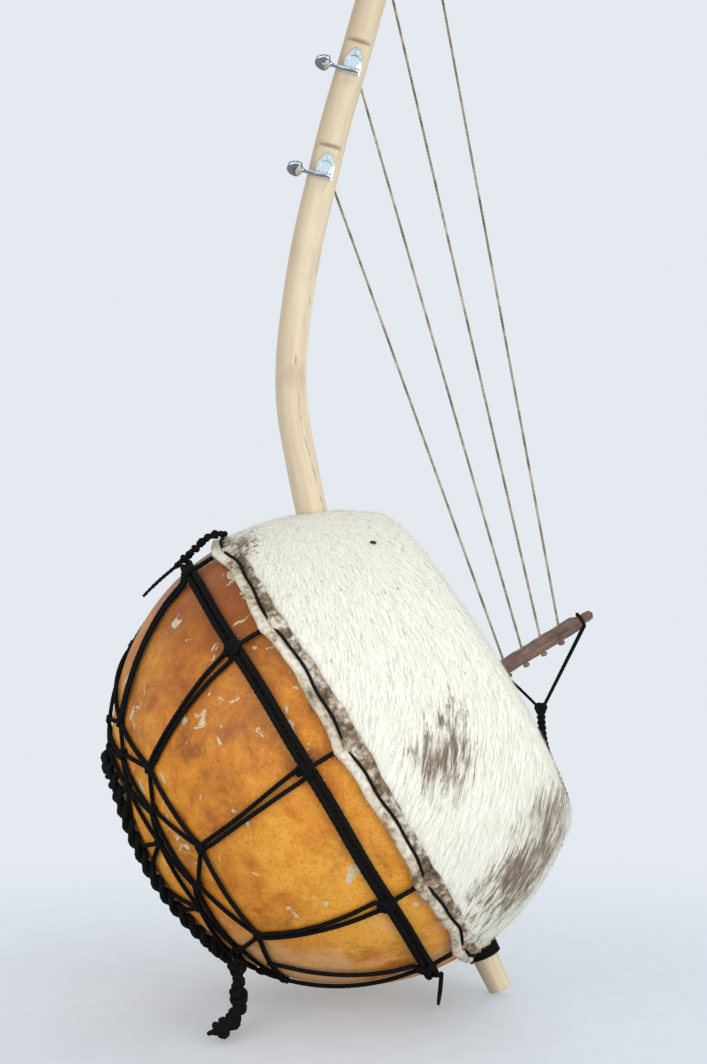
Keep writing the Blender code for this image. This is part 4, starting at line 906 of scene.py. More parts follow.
def bridge_wood(w, c):
    place = w.place()
    along = w.one("ShaderNodeMapping", {0: place, 2: (0, BOWL_TILT, 0), 3: (1, 1, 8)}, vector_type="TEXTURE")
    grain = w.noise(along, 420.0, 4, 0.62, 0.3)
    broad = w.noise(place, 70.0, 3, 0.55)
    tone = w.plus(w.times(grain, 0.5), w.times(broad, 0.5))
    colour = w.ramp(tone, (0.34, "#35261E"), (0.5, c.bridge), (0.66, "#806A5A"))
    return {
        "Base Color": w.mix(w.times(w.attribute("rim"), 0.75), colour, "#C3AE98"),
        "Roughness": 0.66,
        "Normal": w.bump(w.plus(grain, broad), 0.4, 0.0008),
    }


def string_fibre(w, c):
    lay = w.group(lay_group(), {"Pitch": 0.003, "Fuzz": 700.0})
    tone = w.noise(w.place(), 60.0, 3, 0.6)
    colour = w.ramp(tone, (0.36, "#685B4A"), (0.52, c.fibre), (0.66, "#BDB09C"))
    return {
        "Base Color": w.stain(colour, "#4A3E31", lay["Fibre"], 0.45, 0.7, 0.35),
        "Roughness": 0.7,
        "Normal": w.bump(lay["Height"], 0.35, 0.0003),
    }


def metal(colour, stain, low, high, w, c):
    haze = w.group(haze_group(), {"Low": low, "High": high})
    toned = w.stain(colour, stain, haze["Haze"], 0.5, 0.8, 0.6)
    return {"Base Color": toned, "Metallic": 1.0, "Roughness": haze["Roughness"]}


def black_iron(w, c):
    haze = w.group(haze_group(), {"Low": 0.35, "High": 0.6})
    toned = w.mix(haze["Haze"], "#1A1817", "#3A332E")
    return {"Base Color": toned, "Metallic": 0.6, "Roughness": haze["Roughness"]}


FINISHES = {
    "gourd_skin": gourd_skin,
    "hide_skin": hide_skin,
    "hide_hair": partial(hide_skin, strands=True),
    "black_cord": black_cord,
    "peeled_wood": neck_wood,
    "bridge_wood": bridge_wood,
    "string_fibre": string_fibre,
    "bright_chrome": partial(metal, "#E3E7EA", "#C3C9CE", 0.06, 0.2),
    "worm_steel": partial(metal, "#B7B9BA", "#8C8A86", 0.22, 0.42),
    "gear_brass": partial(metal, "#C9A24E", "#94702F", 0.2, 0.4),
    "tack_iron": black_iron,
}


def new_material(name):
    material = bpy.data.materials.new(name)
    material.use_nodes = True
    return material, Wiring(material.node_tree), material.node_tree.nodes["Principled BSDF"]


def finish(name):
    """One of the object's finishes, made when it is first wanted."""
    if name not in bpy.data.materials:
        _, w, shader = new_material(name)
        for label, value in FINISHES[name](w, colours()).items():
            w.feed(shader.inputs[label], value)
    return bpy.data.materials[name]


# Pieces


def neck_line(step):
    """Neck middle as world points, and its diameters."""
    x, z, wide = through(NECK_KNOTS, 24).T
    line = even(np.stack((x, 0 * x, z, wide), 1), step)
    return line[:, :3], line[:, 3]


def tube(line, radii, sides):
    """Rings of points round a line in the neck's plane."""
    turn = np.arange(sides) * TURN / sides
    ring = swing(turn[None, :], np.cross(tangents(line), (0, 1, 0))[:, None], ASIDE)
    return line[:, None] + ring * radii[..., None]


def neck_cutter(gap):
    """A closed length of the neck's own form, for the holes it passes through."""
    line, wide = neck_line(4.0)
    keep = (line[:, 2] > 10) & (line[:, 2] < 620)
    sides = 40
    rings = tube(line[keep], wide[keep, None] / 2 + gap, sides)
    return mesh_object("neck_way", rings.reshape(-1, 3), grid_faces(len(rings), sides, ends=True))


def tuner_places():
    """Origin and axes of each tuner: its post's place, its key's axis, away from the viewer, and up."""
    joints = {joint["name"]: joint for joint in frame["joints"]}
    places = []
    for k in range(1, 5):
        origin = np.array(joints[f"post_turn_{k}"]["pos_m"], float) / MM
        along = unit(np.array(joints[f"key_turn_{k}"]["axis"], float))
        places.append((origin, along, ASIDE, np.cross(along, ASIDE)))
    return places


class BOLON_OT_stage(bpy.types.Operator):
    """Sets the camera, the lamps, the world and the pale floor."""

    bl_idname = "bolon.stage"
    bl_label = "Stage"

    def execute(self, context):
        s = context.scene.bolon_stage
        aim = Vector(s.aim)
        level = math.cos(s.elevation)
        back = Vector((math.sin(s.azimuth) * level, -math.cos(s.azimuth) * level, math.sin(s.elevation)))
        data = bpy.data.cameras.new("photo_camera")
        data.lens = s.lens
        data.sensor_width = 36
        data.sensor_fit = "AUTO"
        context.scene.camera = self.put("photo_camera", data, aim + back * s.distance, -back)
        context.scene.view_settings.view_transform = "Standard"
        for name, power, size, place in (
            ("key", s.key, 1.6, (1.5, -2.3, 0.45)),
            ("fill", s.fill, 2.2, (-2.2, -1.7, 0.8)),
            ("rim", s.fill * 0.7, 1.6, (0.6, 2.4, 1.8)),
        ):
            lamp = bpy.data.lights.new(name, "AREA")
            lamp.energy = power
            lamp.size = size
            self.put(name, lamp, place, aim - Vector(place))
        self.world(context)
        self.floor()
        return {"FINISHED"}

    def put(self, name, data, place, towards):
        obj = bpy.data.objects.new(name, data)
        obj.location = place
        obj.rotation_euler = towards.to_track_quat("-Z", "Y").to_euler()
        bpy.context.scene.collection.objects.link(obj)
        return obj

    def world(self, context):
        """Even pale light; metal mirrors a room with darker bands in it."""
        world = bpy.data.worlds.new("studio")
        context.scene.world = world
        world.use_nodes = True
        w = Wiring(world.node_tree)
        ground = world.node_tree.nodes["Background"].inputs
        aim = w.node("ShaderNodeTexCoord")["Generated"]
        band = w.noise(w.arrow("MULTIPLY", aim, (1.0, 1.0, 2.4)), 1.7, 1, 0.4)
        ahead = w.band(w.arrow("DOT_PRODUCT", aim, (0.09, -1, 0)), 0.78, 0.92)
        pale = w.most(w.band(band, 0.44, 0.56), ahead)
        room = w.mix(pale, (0.06, 0.08, 0.1), (0.8, 0.95, 1.02))
        path = w.node("ShaderNodeLightPath")
        backdrop = w.mix(path["Is Glossy Ray"], colours().floor, room)
        seen = w.most(w.most(path["Is Camera Ray"], path["Is Glossy Ray"]), path["Is Transmission Ray"])
        w.feed(ground["Color"], w.mix(seen, (0.95, 0.97, 1.0), backdrop))
        w.feed(ground["Strength"], w.one("ShaderNodeMapRange", {0: seen, 3: 0.76, 4: 1.0}))

    def floor(self):
        """A pale floor that keeps the shadow and fades into the backdrop; metal mirrors it dark."""
        level = CAD_BOX[0][2] / MM
        rings = [(0, 0), (400, 0), (1200, 0), (3000, 0)]
        obj = mesh_object("studio_floor", *lathe(rings, (-150, 0, level), (0, 0, 1), 96))
        if obj.data.polygons[0].normal.z < 0:
            obj.data.flip_normals()
        material, w, shader = new_material("studio_floor")
        place = w.place()
        mottle = w.noise(place, 30.0, 3, 0.5)
        w.feed(shader.inputs["Base Color"], w.stain("#DCE3EA", "#CDD5DD", mottle, 0.35, 0.65, 0.25))
        w.feed(shader.inputs["Roughness"], 0.9)
        far = w.band(w.arrow("DISTANCE", place, (-0.15, 0, level * MM)), 0.3, 1.0, 0.3, 1.0)
        mirrored = w.times(w.node("ShaderNodeLightPath")["Is Glossy Ray"], 0.8)
        blend = shader.outputs[0]
        for share, colour in ((far, colours().floor), (mirrored, (0.07, 0.08, 0.09))):
            glow = w.one("ShaderNodeEmission", {"Color": colour, "Strength": 1.0})
            blend = w.one("ShaderNodeMixShader", {0: share, 1: blend, 2: glow})
        w.feed(material.node_tree.nodes["Material Output"].inputs["Surface"], blend)
        obj.data.materials.append(material)


class BOLON_OT_free_cords(bpy.types.Operator):
    """Makes the cords that hang free: the tail chain, the top chain and the loose end."""

    bl_idname = "bolon.free_cords"
    bl_label = "Free cords"

    def execute(self, context):
        black = finish("black_cord")
        self.tail(black)
        self.top(black)
        self.loose(black)
        return {"FINISHED"}

    def declare(self, piece, path, diameter, far_end, node):
        dress(piece, "frame", node, slot="cord")

    def tail(self, black):
        path = even(through(TAIL_CHAIN, 20), 1.2)
        up = np.broadcast_to(np.array((0.35, -0.5, 0.8)), path.shape)
        way = unit(path[-1] - path[-6])
        side = unit(np.cross(way, (0, 0, 1.0)))
        bends = ((-4, 0), (2, 5), (7, 7), (10.5, 4))
        hook = through([path[-1] + on * way + off * side for on, off in bends], 8)
        runs = [(path, TAIL_CORE, False), (hook, np.linspace(TAIL_CORE, 1.2, len(hook)), False)]
        runs += lumps(path, up, 22.0, 15.5)
        self.declare(cords("tail_chain_braid", runs, black, 12, 1.6, 10), path, 17.0, "knot", "tail_chain")

    def top(self, black):
        route = through(TOP_CHAIN, 14)
        path = on_gourd(route[:, 0], route[:, 1], route[:, 2])
        line = even(np.column_stack((path, route[:, 3], route[:, 0], route[:, 1])), 0.9)
        path, thick = line[:, :3], line[:, 3] > 3
        up = away(line[:, 4], line[:, 5])
        tip = np.clip((travelled(path)[-1] - travelled(path)) / 14, 0.8, 1)
        radius = np.where(thick, 1.6, 1.25) * tip
        runs = [(strand, radius, False) for strand in braid(path, 1.0, 0.7, 14.0, up)]
        runs += lumps(path[thick], up[thick], 11.0, 8.0)
        self.declare(cords("top_chain_braid", runs, black, 10, 0.8, 10), path, 10.0, "bare", "top_chain")

    def loose(self, black):
        path = even(through(LOOSE_END, 14), 1.0)
        share = travelled(path) / travelled(path)[-1]
        piece = cords("loose_end_cord", [(path, 2.5 - 1.1 * share**6, False)], black, 12, 1.4, 10)
        self.declare(piece, path, 5.0, "bare", "loose_end")


class BOLON_OT_gourd(bpy.types.Operator):
    """Makes the gourd shell with its uneven skin."""

    bl_idname = "bolon.gourd"
    bl_label = "Gourd"

    def execute(self, context):
        columns = 240
        angle = np.arange(columns) * 360 / columns
        quarter = math.pi / 2
        back = -BACK_HALF * np.cos(np.linspace(0, quarter, 110))
        outer = np.concatenate((back, np.linspace(2, MOUTH, 60)))
        back = -BACK_HALF * np.sin(np.linspace(0, quarter, 50))
        inner = np.concatenate((np.linspace(MOUTH - 6, 2, 30), back))
        turn = np.radians(angle)[None, :]
        up = outer[:, None] / GOURD_RADIUS
        dip = 0.5 + 0.5 * np.sin(3 * turn + 2.1 * up) * np.cos(2 * turn - 3.3 * up + 0.8)
        dip = 0.9 * dip + 0.35 * (0.5 + 0.5 * np.sin(9 * turn + 5 * up) * np.sin(7 * up + 4 * turn))
        skins = []
        for heights, lift in ((outer[:, None], -dip), (inner[:, None], -WALL)):
            rho, high = off_gourd(heights, lift)
            skins.append(spun(np.maximum(0, rho) * (heights > -BACK_HALF + 1e-6), high, angle[None, :]))
        rings = np.concatenate(skins)
        faces = grid_faces(len(rings), columns)
        piece = mesh_object("gourd_shell", rings.reshape(-1, 3), faces, finish("gourd_skin"))
        cut(piece, neck_cutter(1.0))
        dress(piece, "frame", "gourd_bowl", slot="gourd")
        return {"FINISHED"}


class BOLON_OT_hide(bpy.types.Operator):
    """Makes the haired hide with its rolled hem, the ring in it, its cord and its tack."""

    bl_idname = "bolon.hide"
    bl_label = "Hide"

    def execute(self, context):
        piece = self.sheet()
        cut(piece, neck_cutter(0.7))
        piece.data.shade_smooth()
        self.hair(piece)
        dress(piece, "frame", "hide_head", slot="hide")
        self.ring()
        self.tack()
        return {"FINISHED"}

    def section(self, angle):
        """Middle of the hide's thickness from the crown to the flap's edge, at each angle."""
        hem = hem_height(angle)
        wave = np.radians(angle)
        rows, marks = [], []

        def add(rho, high, mark=0.0):
            rows.append(np.stack((rho * np.ones_like(angle), high * np.ones_like(angle)), -1))
            marks.append(mark)

        for r in np.linspace(0, FACE_EDGE, 24):
            dimple = 0.5 * (r / FACE_EDGE) * np.sin(2 * wave + 0.5)
            add(r, FACE_CROWN - 12 * (r / FACE_EDGE) ** 2 - np.abs(dimple))
        for r, z in ((171.8, 159.4), (179.2, 154.5)):
            add(r, z)
        for height, lift in ((152, 2.5), (145, 1.7)):
            add(*off_gourd(height, lift))
        shoulder = 137
        for share in np.linspace(0, 1, 30):
            height = shoulder + (hem + 4 - shoulder) * share
            pucker = 0.5 * share**3 * np.sin(26 * wave)
            add(*off_gourd(height, 1.3 + np.maximum(0, pucker)))
        middle = np.stack(off_gourd(hem, ROLL_LIFT), -1)
        normal = np.stack(off_gourd(hem, ROLL_LIFT + 1), -1) - middle
        back = np.stack((normal[..., 1], -normal[..., 0]), -1)
        for psi in np.radians(np.linspace(0, 232, 15)):
            lump = 0.35 * np.sin(23 * wave + 1) * np.sin(41 * wave)
            radius = 3.4 + lump[:, None] * math.sin(psi / 2)
            rows.append(middle + radius * (-normal * math.cos(psi) + back * math.sin(psi)))
            marks.append(min(1.0, psi * 1.6))
        flap = flap_edge(angle) - hem - FLAP_START
        for share in np.linspace(0, 1, 8):
            lift = 3.7 + 0.5 * np.sin(17 * wave) * share**2 + 0.7 * share**3
            add(*off_gourd(hem + FLAP_START + flap * share, lift), 2.0)
        return np.array(rows), np.array(marks)

    def sheet(self):
        columns = 300
        angle = np.arange(columns) * 360 / columns
        middle, marks = self.section(angle)
        tangent = tangents(middle)
        normal = np.stack((-tangent[..., 1], tangent[..., 0]), -1)
        normal[0] = (0, 1)
        hairy, bare = middle + normal, middle - normal
        hairy[0, :, 0] = bare[0, :, 0] = 0
        path = np.concatenate((hairy, bare[::-1]))
        points = spun(path[..., 0], path[..., 1], angle[None, :])
        haired = np.concatenate((marks < 0.05, marks[::-1] > 1.9)).astype(float)
        hem = np.concatenate((marks, np.maximum(marks[::-1], 1.0)))
        x, z = points[..., 0], points[..., 2]
        sweep = 0.2 - 0.65 * np.clip((450 - z) / 350, -0.1, 1.2)
        grain = np.stack((sweep, 0 * sweep + 0.02, 0 * sweep - 1), -1)
        swirl = np.stack((np.sin(z * 0.021), 0.8 * np.sin(x * 0.017 + 1), 0 * x), -1)
        way = grain + 0.16 * swirl
        out = unit(np.cross(np.gradient(points, axis=0), np.roll(points, -1, 1) - np.roll(points, 1, 1)))
        flow = unit(way - out * np.sum(way * out, -1, keepdims=True))
        return mesh_object(
            "hide_sheet",
            points.reshape(-1, 3),
            grid_faces(len(points), columns),
            finish("hide_skin"),
            haired=np.repeat(haired, columns),
            hem=np.repeat(hem, columns),
            flow=flow.reshape(-1, 3),
        )

    def hair(self, sheet):
        points = np.array(((0, -0.5, 0), (0, 0.5, 0), (0, 0, 0.5), (1, 0, 0))) / MM
        hair = mesh_object("one_hair", points, ((0, 1, 3), (1, 2, 3), (2, 0, 3), (0, 2, 1)))
        s = sizes()
        values = {"Density": s.hair_density, "Length": s.hair_length, "Width": s.hair_width, "Lift": 0.09}
        values.update({"Hair": hair, "Seed": 4, "Finish": finish("hide_hair")})
        coat = settled(sheet, "hide_hair_coat", hair_tree(), values, keep=True)
        bpy.data.objects.remove(hair)
        dress(coat, "frame", slot="hide")

    def ring(self):
        angle = SEAM + np.arange(360)
        hem = hem_height(angle)
        ring = on_gourd(hem, angle, ROLL_LIFT)
        piece = cords("hem_ring", [(ring, 2.2, True)], finish("peeled_wood"), 40, 4.0, 10, groove=0.0)
        dress(piece, "frame", "flesh_ring", slot="cord")
        ties = np.min(np.abs((angle[:, None] - np.array(HOOP_ANGLES)[None, :] + 180) % 360 - 180), axis=1)
        lift = 6.3 - 4.0 * np.exp(-((ties / 2.6) ** 2))
        girdle = on_gourd(hem + 6.2, angle, lift)
        piece = cords("girdle_line", [(girdle, 1.6, True)], finish("black_cord"), 9)
        dress(piece, "frame", "girdle_cord", slot="cord")

    def tack(self):
        form = lathe(TACK_PROFILE, on_gourd(*TACK_PLACE, 2.0), away(*TACK_PLACE), 28)
        dress(mesh_object("tack_head", *form, finish("tack_iron")), "frame", "hide_tack", slot="iron")


class BOLON_OT_lacing(bpy.types.Operator):
    """Makes the hoop, the ties and stays, the net with its knots, and the braided ring at the back."""

    bl_idname = "bolon.lacing"
    bl_label = "Lacing"

    def execute(self, context):
        black = finish("black_cord")
        s = sizes()
        rope, stay = s.rope / MM, s.stay / MM
        angle = SEAM + np.arange(0, 360, 2.0)
        wobble = 0.6 * np.sin(np.radians(angle * 5)) + 0.4 * np.sin(np.radians(angle * 11) + 2)
        hoops = []
        for side in (-HOOP_SPREAD, HOOP_SPREAD):
            hoops.append((on_gourd(HOOP_HEIGHT + side + wobble, angle, rope + 0.2), rope, True))
        dress(cords("hoop_cord", hoops, black, 18, 2.2, 10), "frame", "belt_hoop", slot="cord")
        dress(cords("tie_and_stay_cord", self.stays(stay), black, 16, 2.2), "frame", "lacing", slot="cord")
        for node, runs in self.net(stay * 0.92).items():
            dress(cords(node + "_cord", runs, black, 15, 2.2), "frame", node, slot="cord")
        dress(knots("lacing_knots", self.spots(s), black), "frame", slot="cord")
        self.back_ring(black)
        return {"FINISHED"}

    def stays(self, stay):
        runs = []
        for i, (top, (low, meet), after) in enumerate(zip(HOOP_ANGLES, MEETS, onward(MEETS))):
            hem = float(hem_height(top))
            tie = ((hem + 2, 3), (hem - 7, 4), (-28, 5), (-33, 9), (-39, 9), (-46, 4))
            runs.append((gourd_run([(height, top, lift) for height, lift in tie], 6), stay, False))
            for side in (-1, 1):
                slip = SLIPPED if i == 0 and side == 1 else 0
                first = top + side * np.degrees(HITCH_HALF / HOOP_RADIUS)
                lean = [(-34, first, 8.6), (-41, first, 8.0)]
                for share in (0, 0.2, 0.4, 0.6, 0.8, 0.94):
                    height = -47 + (low + 47) * share
                    apart = np.interp(share, (0, 0.55, 1), (HITCH_HALF, 2.7, 2.5)) / off_gourd(height, 0)[0]
                    way = top + (meet + slip - top) * (0.08 + 0.92 * share**1.2)
                    lean.append((height, way + side * np.degrees(apart), stay + 0.2))
                lean.append((low - 3, meet + slip + side * 0.2, stay + 0.6))
                runs.append((gourd_run(lean, 8), stay * 0.95, False))
            runs.append((self.straight((low, meet), after, stay), stay, False))
        root = [(-36, -72, 4), (-30, -75, 6), (-27.8, -78.2, 5.6)]
        runs.append((gourd_run(root, 8), 2.5, False))
        return runs

    def straight(self, start, end, lift):
        """The shortest way over the skin between two (height, angle) spots."""
        ends = [on_gourd(h, a, 0) - np.array(BOWL_CENTRE) for h, a in (start, end)]
        share = np.linspace(0, 1, 22)[:, None]
        chord = ends[0] * (1 - share) + ends[1] * share
        c, s = math.cos(BOWL_TILT), math.sin(BOWL_TILT)
        x, y, z = chord[:, 0] * c - chord[:, 2] * s, chord[:, 1], chord[:, 0] * s + chord[:, 2] * c
        half = np.where(z > 0, FRONT_HALF, BACK_HALF)
        grow = 1 / np.sqrt((x**2 + y**2) / GOURD_RADIUS**2 + (z / half) ** 2)
        return on_gourd(z * grow, np.degrees(np.unwrap(np.arctan2(-x, -y))), lift)

    def nodes(self):
        """The knots of the net's two rows."""
        b = [(ROW_B, p[1] + NET_LEAN * (q[1] - p[1])) for p, q in zip(MEETS, onward(MEETS))]
        c = [(ROW_C, p[1] + NET_LEAN * (q[1] - p[1])) for p, q in zip(b, onward(b))]
        return b, c

    def net(self, stay):
        b, c = self.nodes()
        outer, ring, inner = [], [], []

        def run(start, end):
            return self.straight(start, end, stay), stay, False

        for meet, after, knot, other, last, later in zip(MEETS, onward(MEETS), b, onward(b), c, onward(c)):
            outer += [run(meet, knot), run(knot, after)]
            ring.append(run((ROW_B - 3, knot[1]), (ROW_B - 3, other[1])))
            inner += [run((ROW_B - 4, knot[1]), last), run(last, (ROW_B - 4, other[1])), run(last, later)]
            for side in (-8, 8):
                inner.append(run(last, (float(ring_height(last[1] + side)), last[1] + side)))
        root = np.stack((on_gourd(*c[-1], stay), np.array(TAIL_CHAIN[0])))
        inner.append((even(root, 2.0), TAIL_CORE, False))
        return {"net_outer": outer, "net_ring": ring, "net_inner": inner}

    def spots(self, s):
        b, c = self.nodes()
        hitches = [(HOOP_HEIGHT, angle) for angle in HOOP_ANGLES]
        hitch, small = s.hoop_knot / MM, s.net_knot / MM
        rows = ((hitches, 7.2, hitch), (MEETS, 3.2, small * 1.1), (b, 3.0, small), (c, 3.0, small))
        spots = []
        for row, lift, size in rows:
            for i, (height, angle) in enumerate(row):
                lead = on_gourd(height - 1, angle + 0.25 * math.sin(5 * i), 0) - on_gourd(height, angle, 0)
                own = size * (1 + 0.08 * math.sin(7 * i))
                spots.append((on_gourd(height, angle, lift), away(height, angle), lead, own))
        return spots

    def back_ring(self, black):
        angle = np.arange(180, 540, 0.8)
        path = on_gourd(ring_height(angle), angle, RING_LIFT)
        up = away(ring_height(angle), angle)
        runs = [(strand, 3.4, True) for strand in braid(path, 6.6, 2.6, 46.0, up, closed=True)]
        dress(cords("back_ring_braid", runs, black, 12, 1.8), "frame", "back_ring", slot="cord")


class BOLON_OT_neck(bpy.types.Operator):
    """Makes the peeled neck with its cut flats, and the cord bound on its spike."""

    bl_idname = "bolon.neck"
    bl_label = "Neck"

    def execute(self, context):
        line, wide = neck_line(2.0)
        gone = travelled(line)
        turn = np.arange(NECK_SIDES) * TURN / NECK_SIDES
        knobs = 0.35 * np.sin(gone[:, None] * 0.021 + 2 * np.cos(turn))
        knobs = knobs + 0.25 * np.sin(gone[:, None] * 0.05 + 3 * turn)
        rings, notch = self.flats(tube(line, wide[:, None] / 2 + knobs - 0.2, NECK_SIDES), line)

        def doubled(rows):
            return np.concatenate((rows[:1], rows, rows[-1:]))

        small = doubled(rings)
        for row, at, share in ((0, line[0], 0.93), (-1, line[-1], 0.95)):
            small[row] = at + (small[row] - at) * share
        small[1] += unit(line[1] - line[0]) * 0.7
        small[-2] -= unit(line[-1] - line[-2]) * 0.7
        around = np.stack((np.cos(turn), np.sin(turn), 0 * turn), -1)
        piece = mesh_object(
            "neck_stick",
            small.reshape(-1, 3),
            grid_faces(len(small), NECK_SIDES, ends=True),
            finish("peeled_wood"),
            along=np.repeat(doubled(gone) * MM, NECK_SIDES),
            round=np.tile(around, (len(small), 1)),
            notch=doubled(notch).ravel(),
        )
        seat = [(0, SEAT_DEPTH), (SEAT_RADIUS, SEAT_DEPTH), (SEAT_RADIUS, 30), (0, 30)]
        for origin, _, back, _ in tuner_places():
            cut(piece, mesh_object("seat_cutter", *lathe(seat, origin, back, 32)))
        dress(sharpen(piece, 38), "frame", "neck", slot="neck")
        self.binding()
        return {"FINISHED"}

    def flats(self, rings, line):
        """Cuts the near side flat under each tuner, stepped above and ramped below; marks where shadow is
        painted under each step.
        """
        tangent = tangents(line)
        depth = np.full(len(line), -99.0)
        mark = np.zeros(len(line))
        for origin, _, _, _ in tuner_places():
            flat_origin = np.array((origin[0], 0, origin[2]))
            reach = np.sum((line - flat_origin) * tangent, axis=1)
            near = np.linalg.norm(line - flat_origin, axis=1) < 60
            ramp = np.clip((-FLAT_DROP - reach) / FLAT_RAMP, 0, 1)
            step = np.clip((reach - FLAT_RISE) / 1.5, 0, 1)
            here = NECK_FLAT - 5 * np.maximum(ramp, step)
            held = near & (reach > -FLAT_DROP - FLAT_RAMP) & (reach < FLAT_RISE + 3)
            depth = np.where(held, np.maximum(depth, here), depth)
            # The mark is painted shadow just under each step, kept to the cut-in side.
            mark = np.maximum(mark, np.exp(-(((reach - (FLAT_RISE + 0.2)) / 1.5) ** 2)) * near)
        rings[..., 1] = np.maximum(rings[..., 1], depth[:, None])
        return rings, mark[:, None] * np.clip((-9 - rings[..., 1]) / 2, 0, 1)

    def binding(self):
        line, wide = neck_line(1.0)
        inside = np.linalg.norm(line - np.array(BOWL_CENTRE), axis=1) < GOURD_RADIUS + 1
        gone = travelled(line)
        turns, pitch = 3.6, 3.6
        theta = np.linspace(0, turns * TURN, 180)
        at = gone[int(np.argmax(inside))] - 20 + pitch * theta / TURN
        spot = at_distance(line, gone, at)
        way = at_distance(tangents(line), gone, at)
        radius = np.interp(at, gone, wide) / 2 + 1.8
        coil = spot + radius[:, None] * swing(theta, unit(np.cross(way, ASIDE)), ASIDE)
        black = finish("black_cord")
        piece = cords("spike_binding", [(coil, 2.0, False)], black, 10, 1.6)
        dress(piece, "frame", "tail_binding", slot="cord")
        at = int(np.argmin(np.abs(theta - (turns - 1) * TURN)))
        tied = [(coil[at], coil[at] - spot[at], way[at], 8.0)]
        dress(knots("spike_knot", tied, black), "frame", slot="cord")


class BOLON_OT_bridge(bpy.types.Operator):
    """Makes the carved bridge and the strap that ties its tip to the spike."""

    bl_idname = "bolon.bridge"
    bl_label = "Bridge"

    def execute(self, context):
        top = BRIDGE_LENGTH
        high = np.concatenate((np.linspace(0, 91, 76), np.linspace(92, top, 24)))
        steps = (0, 4, 40, 80, 90, 95, 99, 105, 110, top)
        thick = np.interp(high, steps, (14, 15.4, 15.4, 16, 16, 12, 9.6, 10, 8.6, 0.5))
        steps = (0, 4, 40, 88, 93, 98, 106, 110, top)
        deep = np.interp(high, steps, (16, 18, 17.6, 14.5, 13, 10.6, 10.6, 8.6, 0.5))
        wave = 0.35 * np.sin(high * 0.21) + 0.25 * np.sin(high * 0.47 + 1)
        sides = 48
        turn = np.arange(sides) * TURN / sides
        c, s = np.cos(turn), np.sin(turn)
        square = (np.abs(c) ** 3 + np.abs(s) ** 3) ** (-1 / 3)
        shape = np.stack((c * square, s * square), -1)
        rings = np.zeros((len(high), sides, 3))
        rings[..., 0] = BRIDGE_X + shape[None, :, 0] * (thick / 2)[:, None] + wave[:, None] * 0.5
        rings[..., 1] = shape[None, :, 1] * (deep / 2)[:, None]
        rings[..., 2] = BRIDGE_FOOT + high[:, None]
        local = rings.reshape(-1, 3)
        beside, above = local[:, 1, None], local[:, 2, None] - np.array(STRING_HOLES)[None, :]
        gap = np.min(np.hypot(beside, above + 1), axis=1)
        edge = np.abs(np.tile(shape[:, 0] * shape[:, 1], len(high))) ** 2
        rim = np.clip(np.exp(-((gap - 3.0) ** 2) / 3) + 0.35 * edge, 0, 1)
        faces = grid_faces(len(high), sides, ends=True)
        piece = mesh_object("bridge_stick", bowl_to_world(local), faces, finish("bridge_wood"), rim=rim)
        dress(sharpen(piece, 50), "frame", "bridge", slot="bridge")
        self.strap()
        return {"FINISHED"}

    def strap(self):
        middle = np.array((BRIDGE_X, 0, 274.5))
        turn = np.radians(np.linspace(28, 332, 40))
        loop = middle + 7.4 * np.stack((np.cos(turn), np.sin(turn), 0 * turn), -1)
        knot = np.array((71.0, 0, 194.0))
        sag = np.linspace(0, 1, 16)[:, None]
        first = loop[0] + (knot + (0, 1.6, 3) - loop[0]) * sag
        last = loop[-1] + (knot + (0, -1.6, 3) - loop[-1]) * sag
        upper = np.concatenate((first[::-1], loop[1:-1], last))
        foot = through(((71, -2, 193), (52, -5, 188), (36, -7, 183.5), (25.5, -8, 180)), 8)
        rho, up = off_gourd(np.linspace(140, 42, 14), 5.4)
        down = np.column_stack((rho, 0 * rho, up))
        face = ((71, 0, 194), (86, 0, 186), (102, 0, 179), (120, 0, 174.5), (146, 0, 171), (168, 0, 165))
        lower = even(through(np.concatenate((face, down)), 8), 1.0)
        lift = unit(np.cross(tangents(lower), ASIDE))
        twist = 2.6 * swing(TURN * travelled(lower) / 11.0, ASIDE, lift)
        paths = ((upper, 1.6), (foot, 1.7), (lower + twist, 2.3), (lower - twist, 2.3))
        runs = [(bowl_to_world(path), radius, False) for path, radius in paths]
        black = finish("black_cord")
        dress(cords("strap_cord", runs, black, 11, 1.6), "frame", "tail_strap", slot="cord")
        spot = bowl_to_world(knot)
        lead = bowl_to_world(knot + (1, 0, -0.6)) - spot
        dress(knots("strap_knot", [(spot, (0, -1, 0), lead, 15.0)], black), "frame", slot="cord")


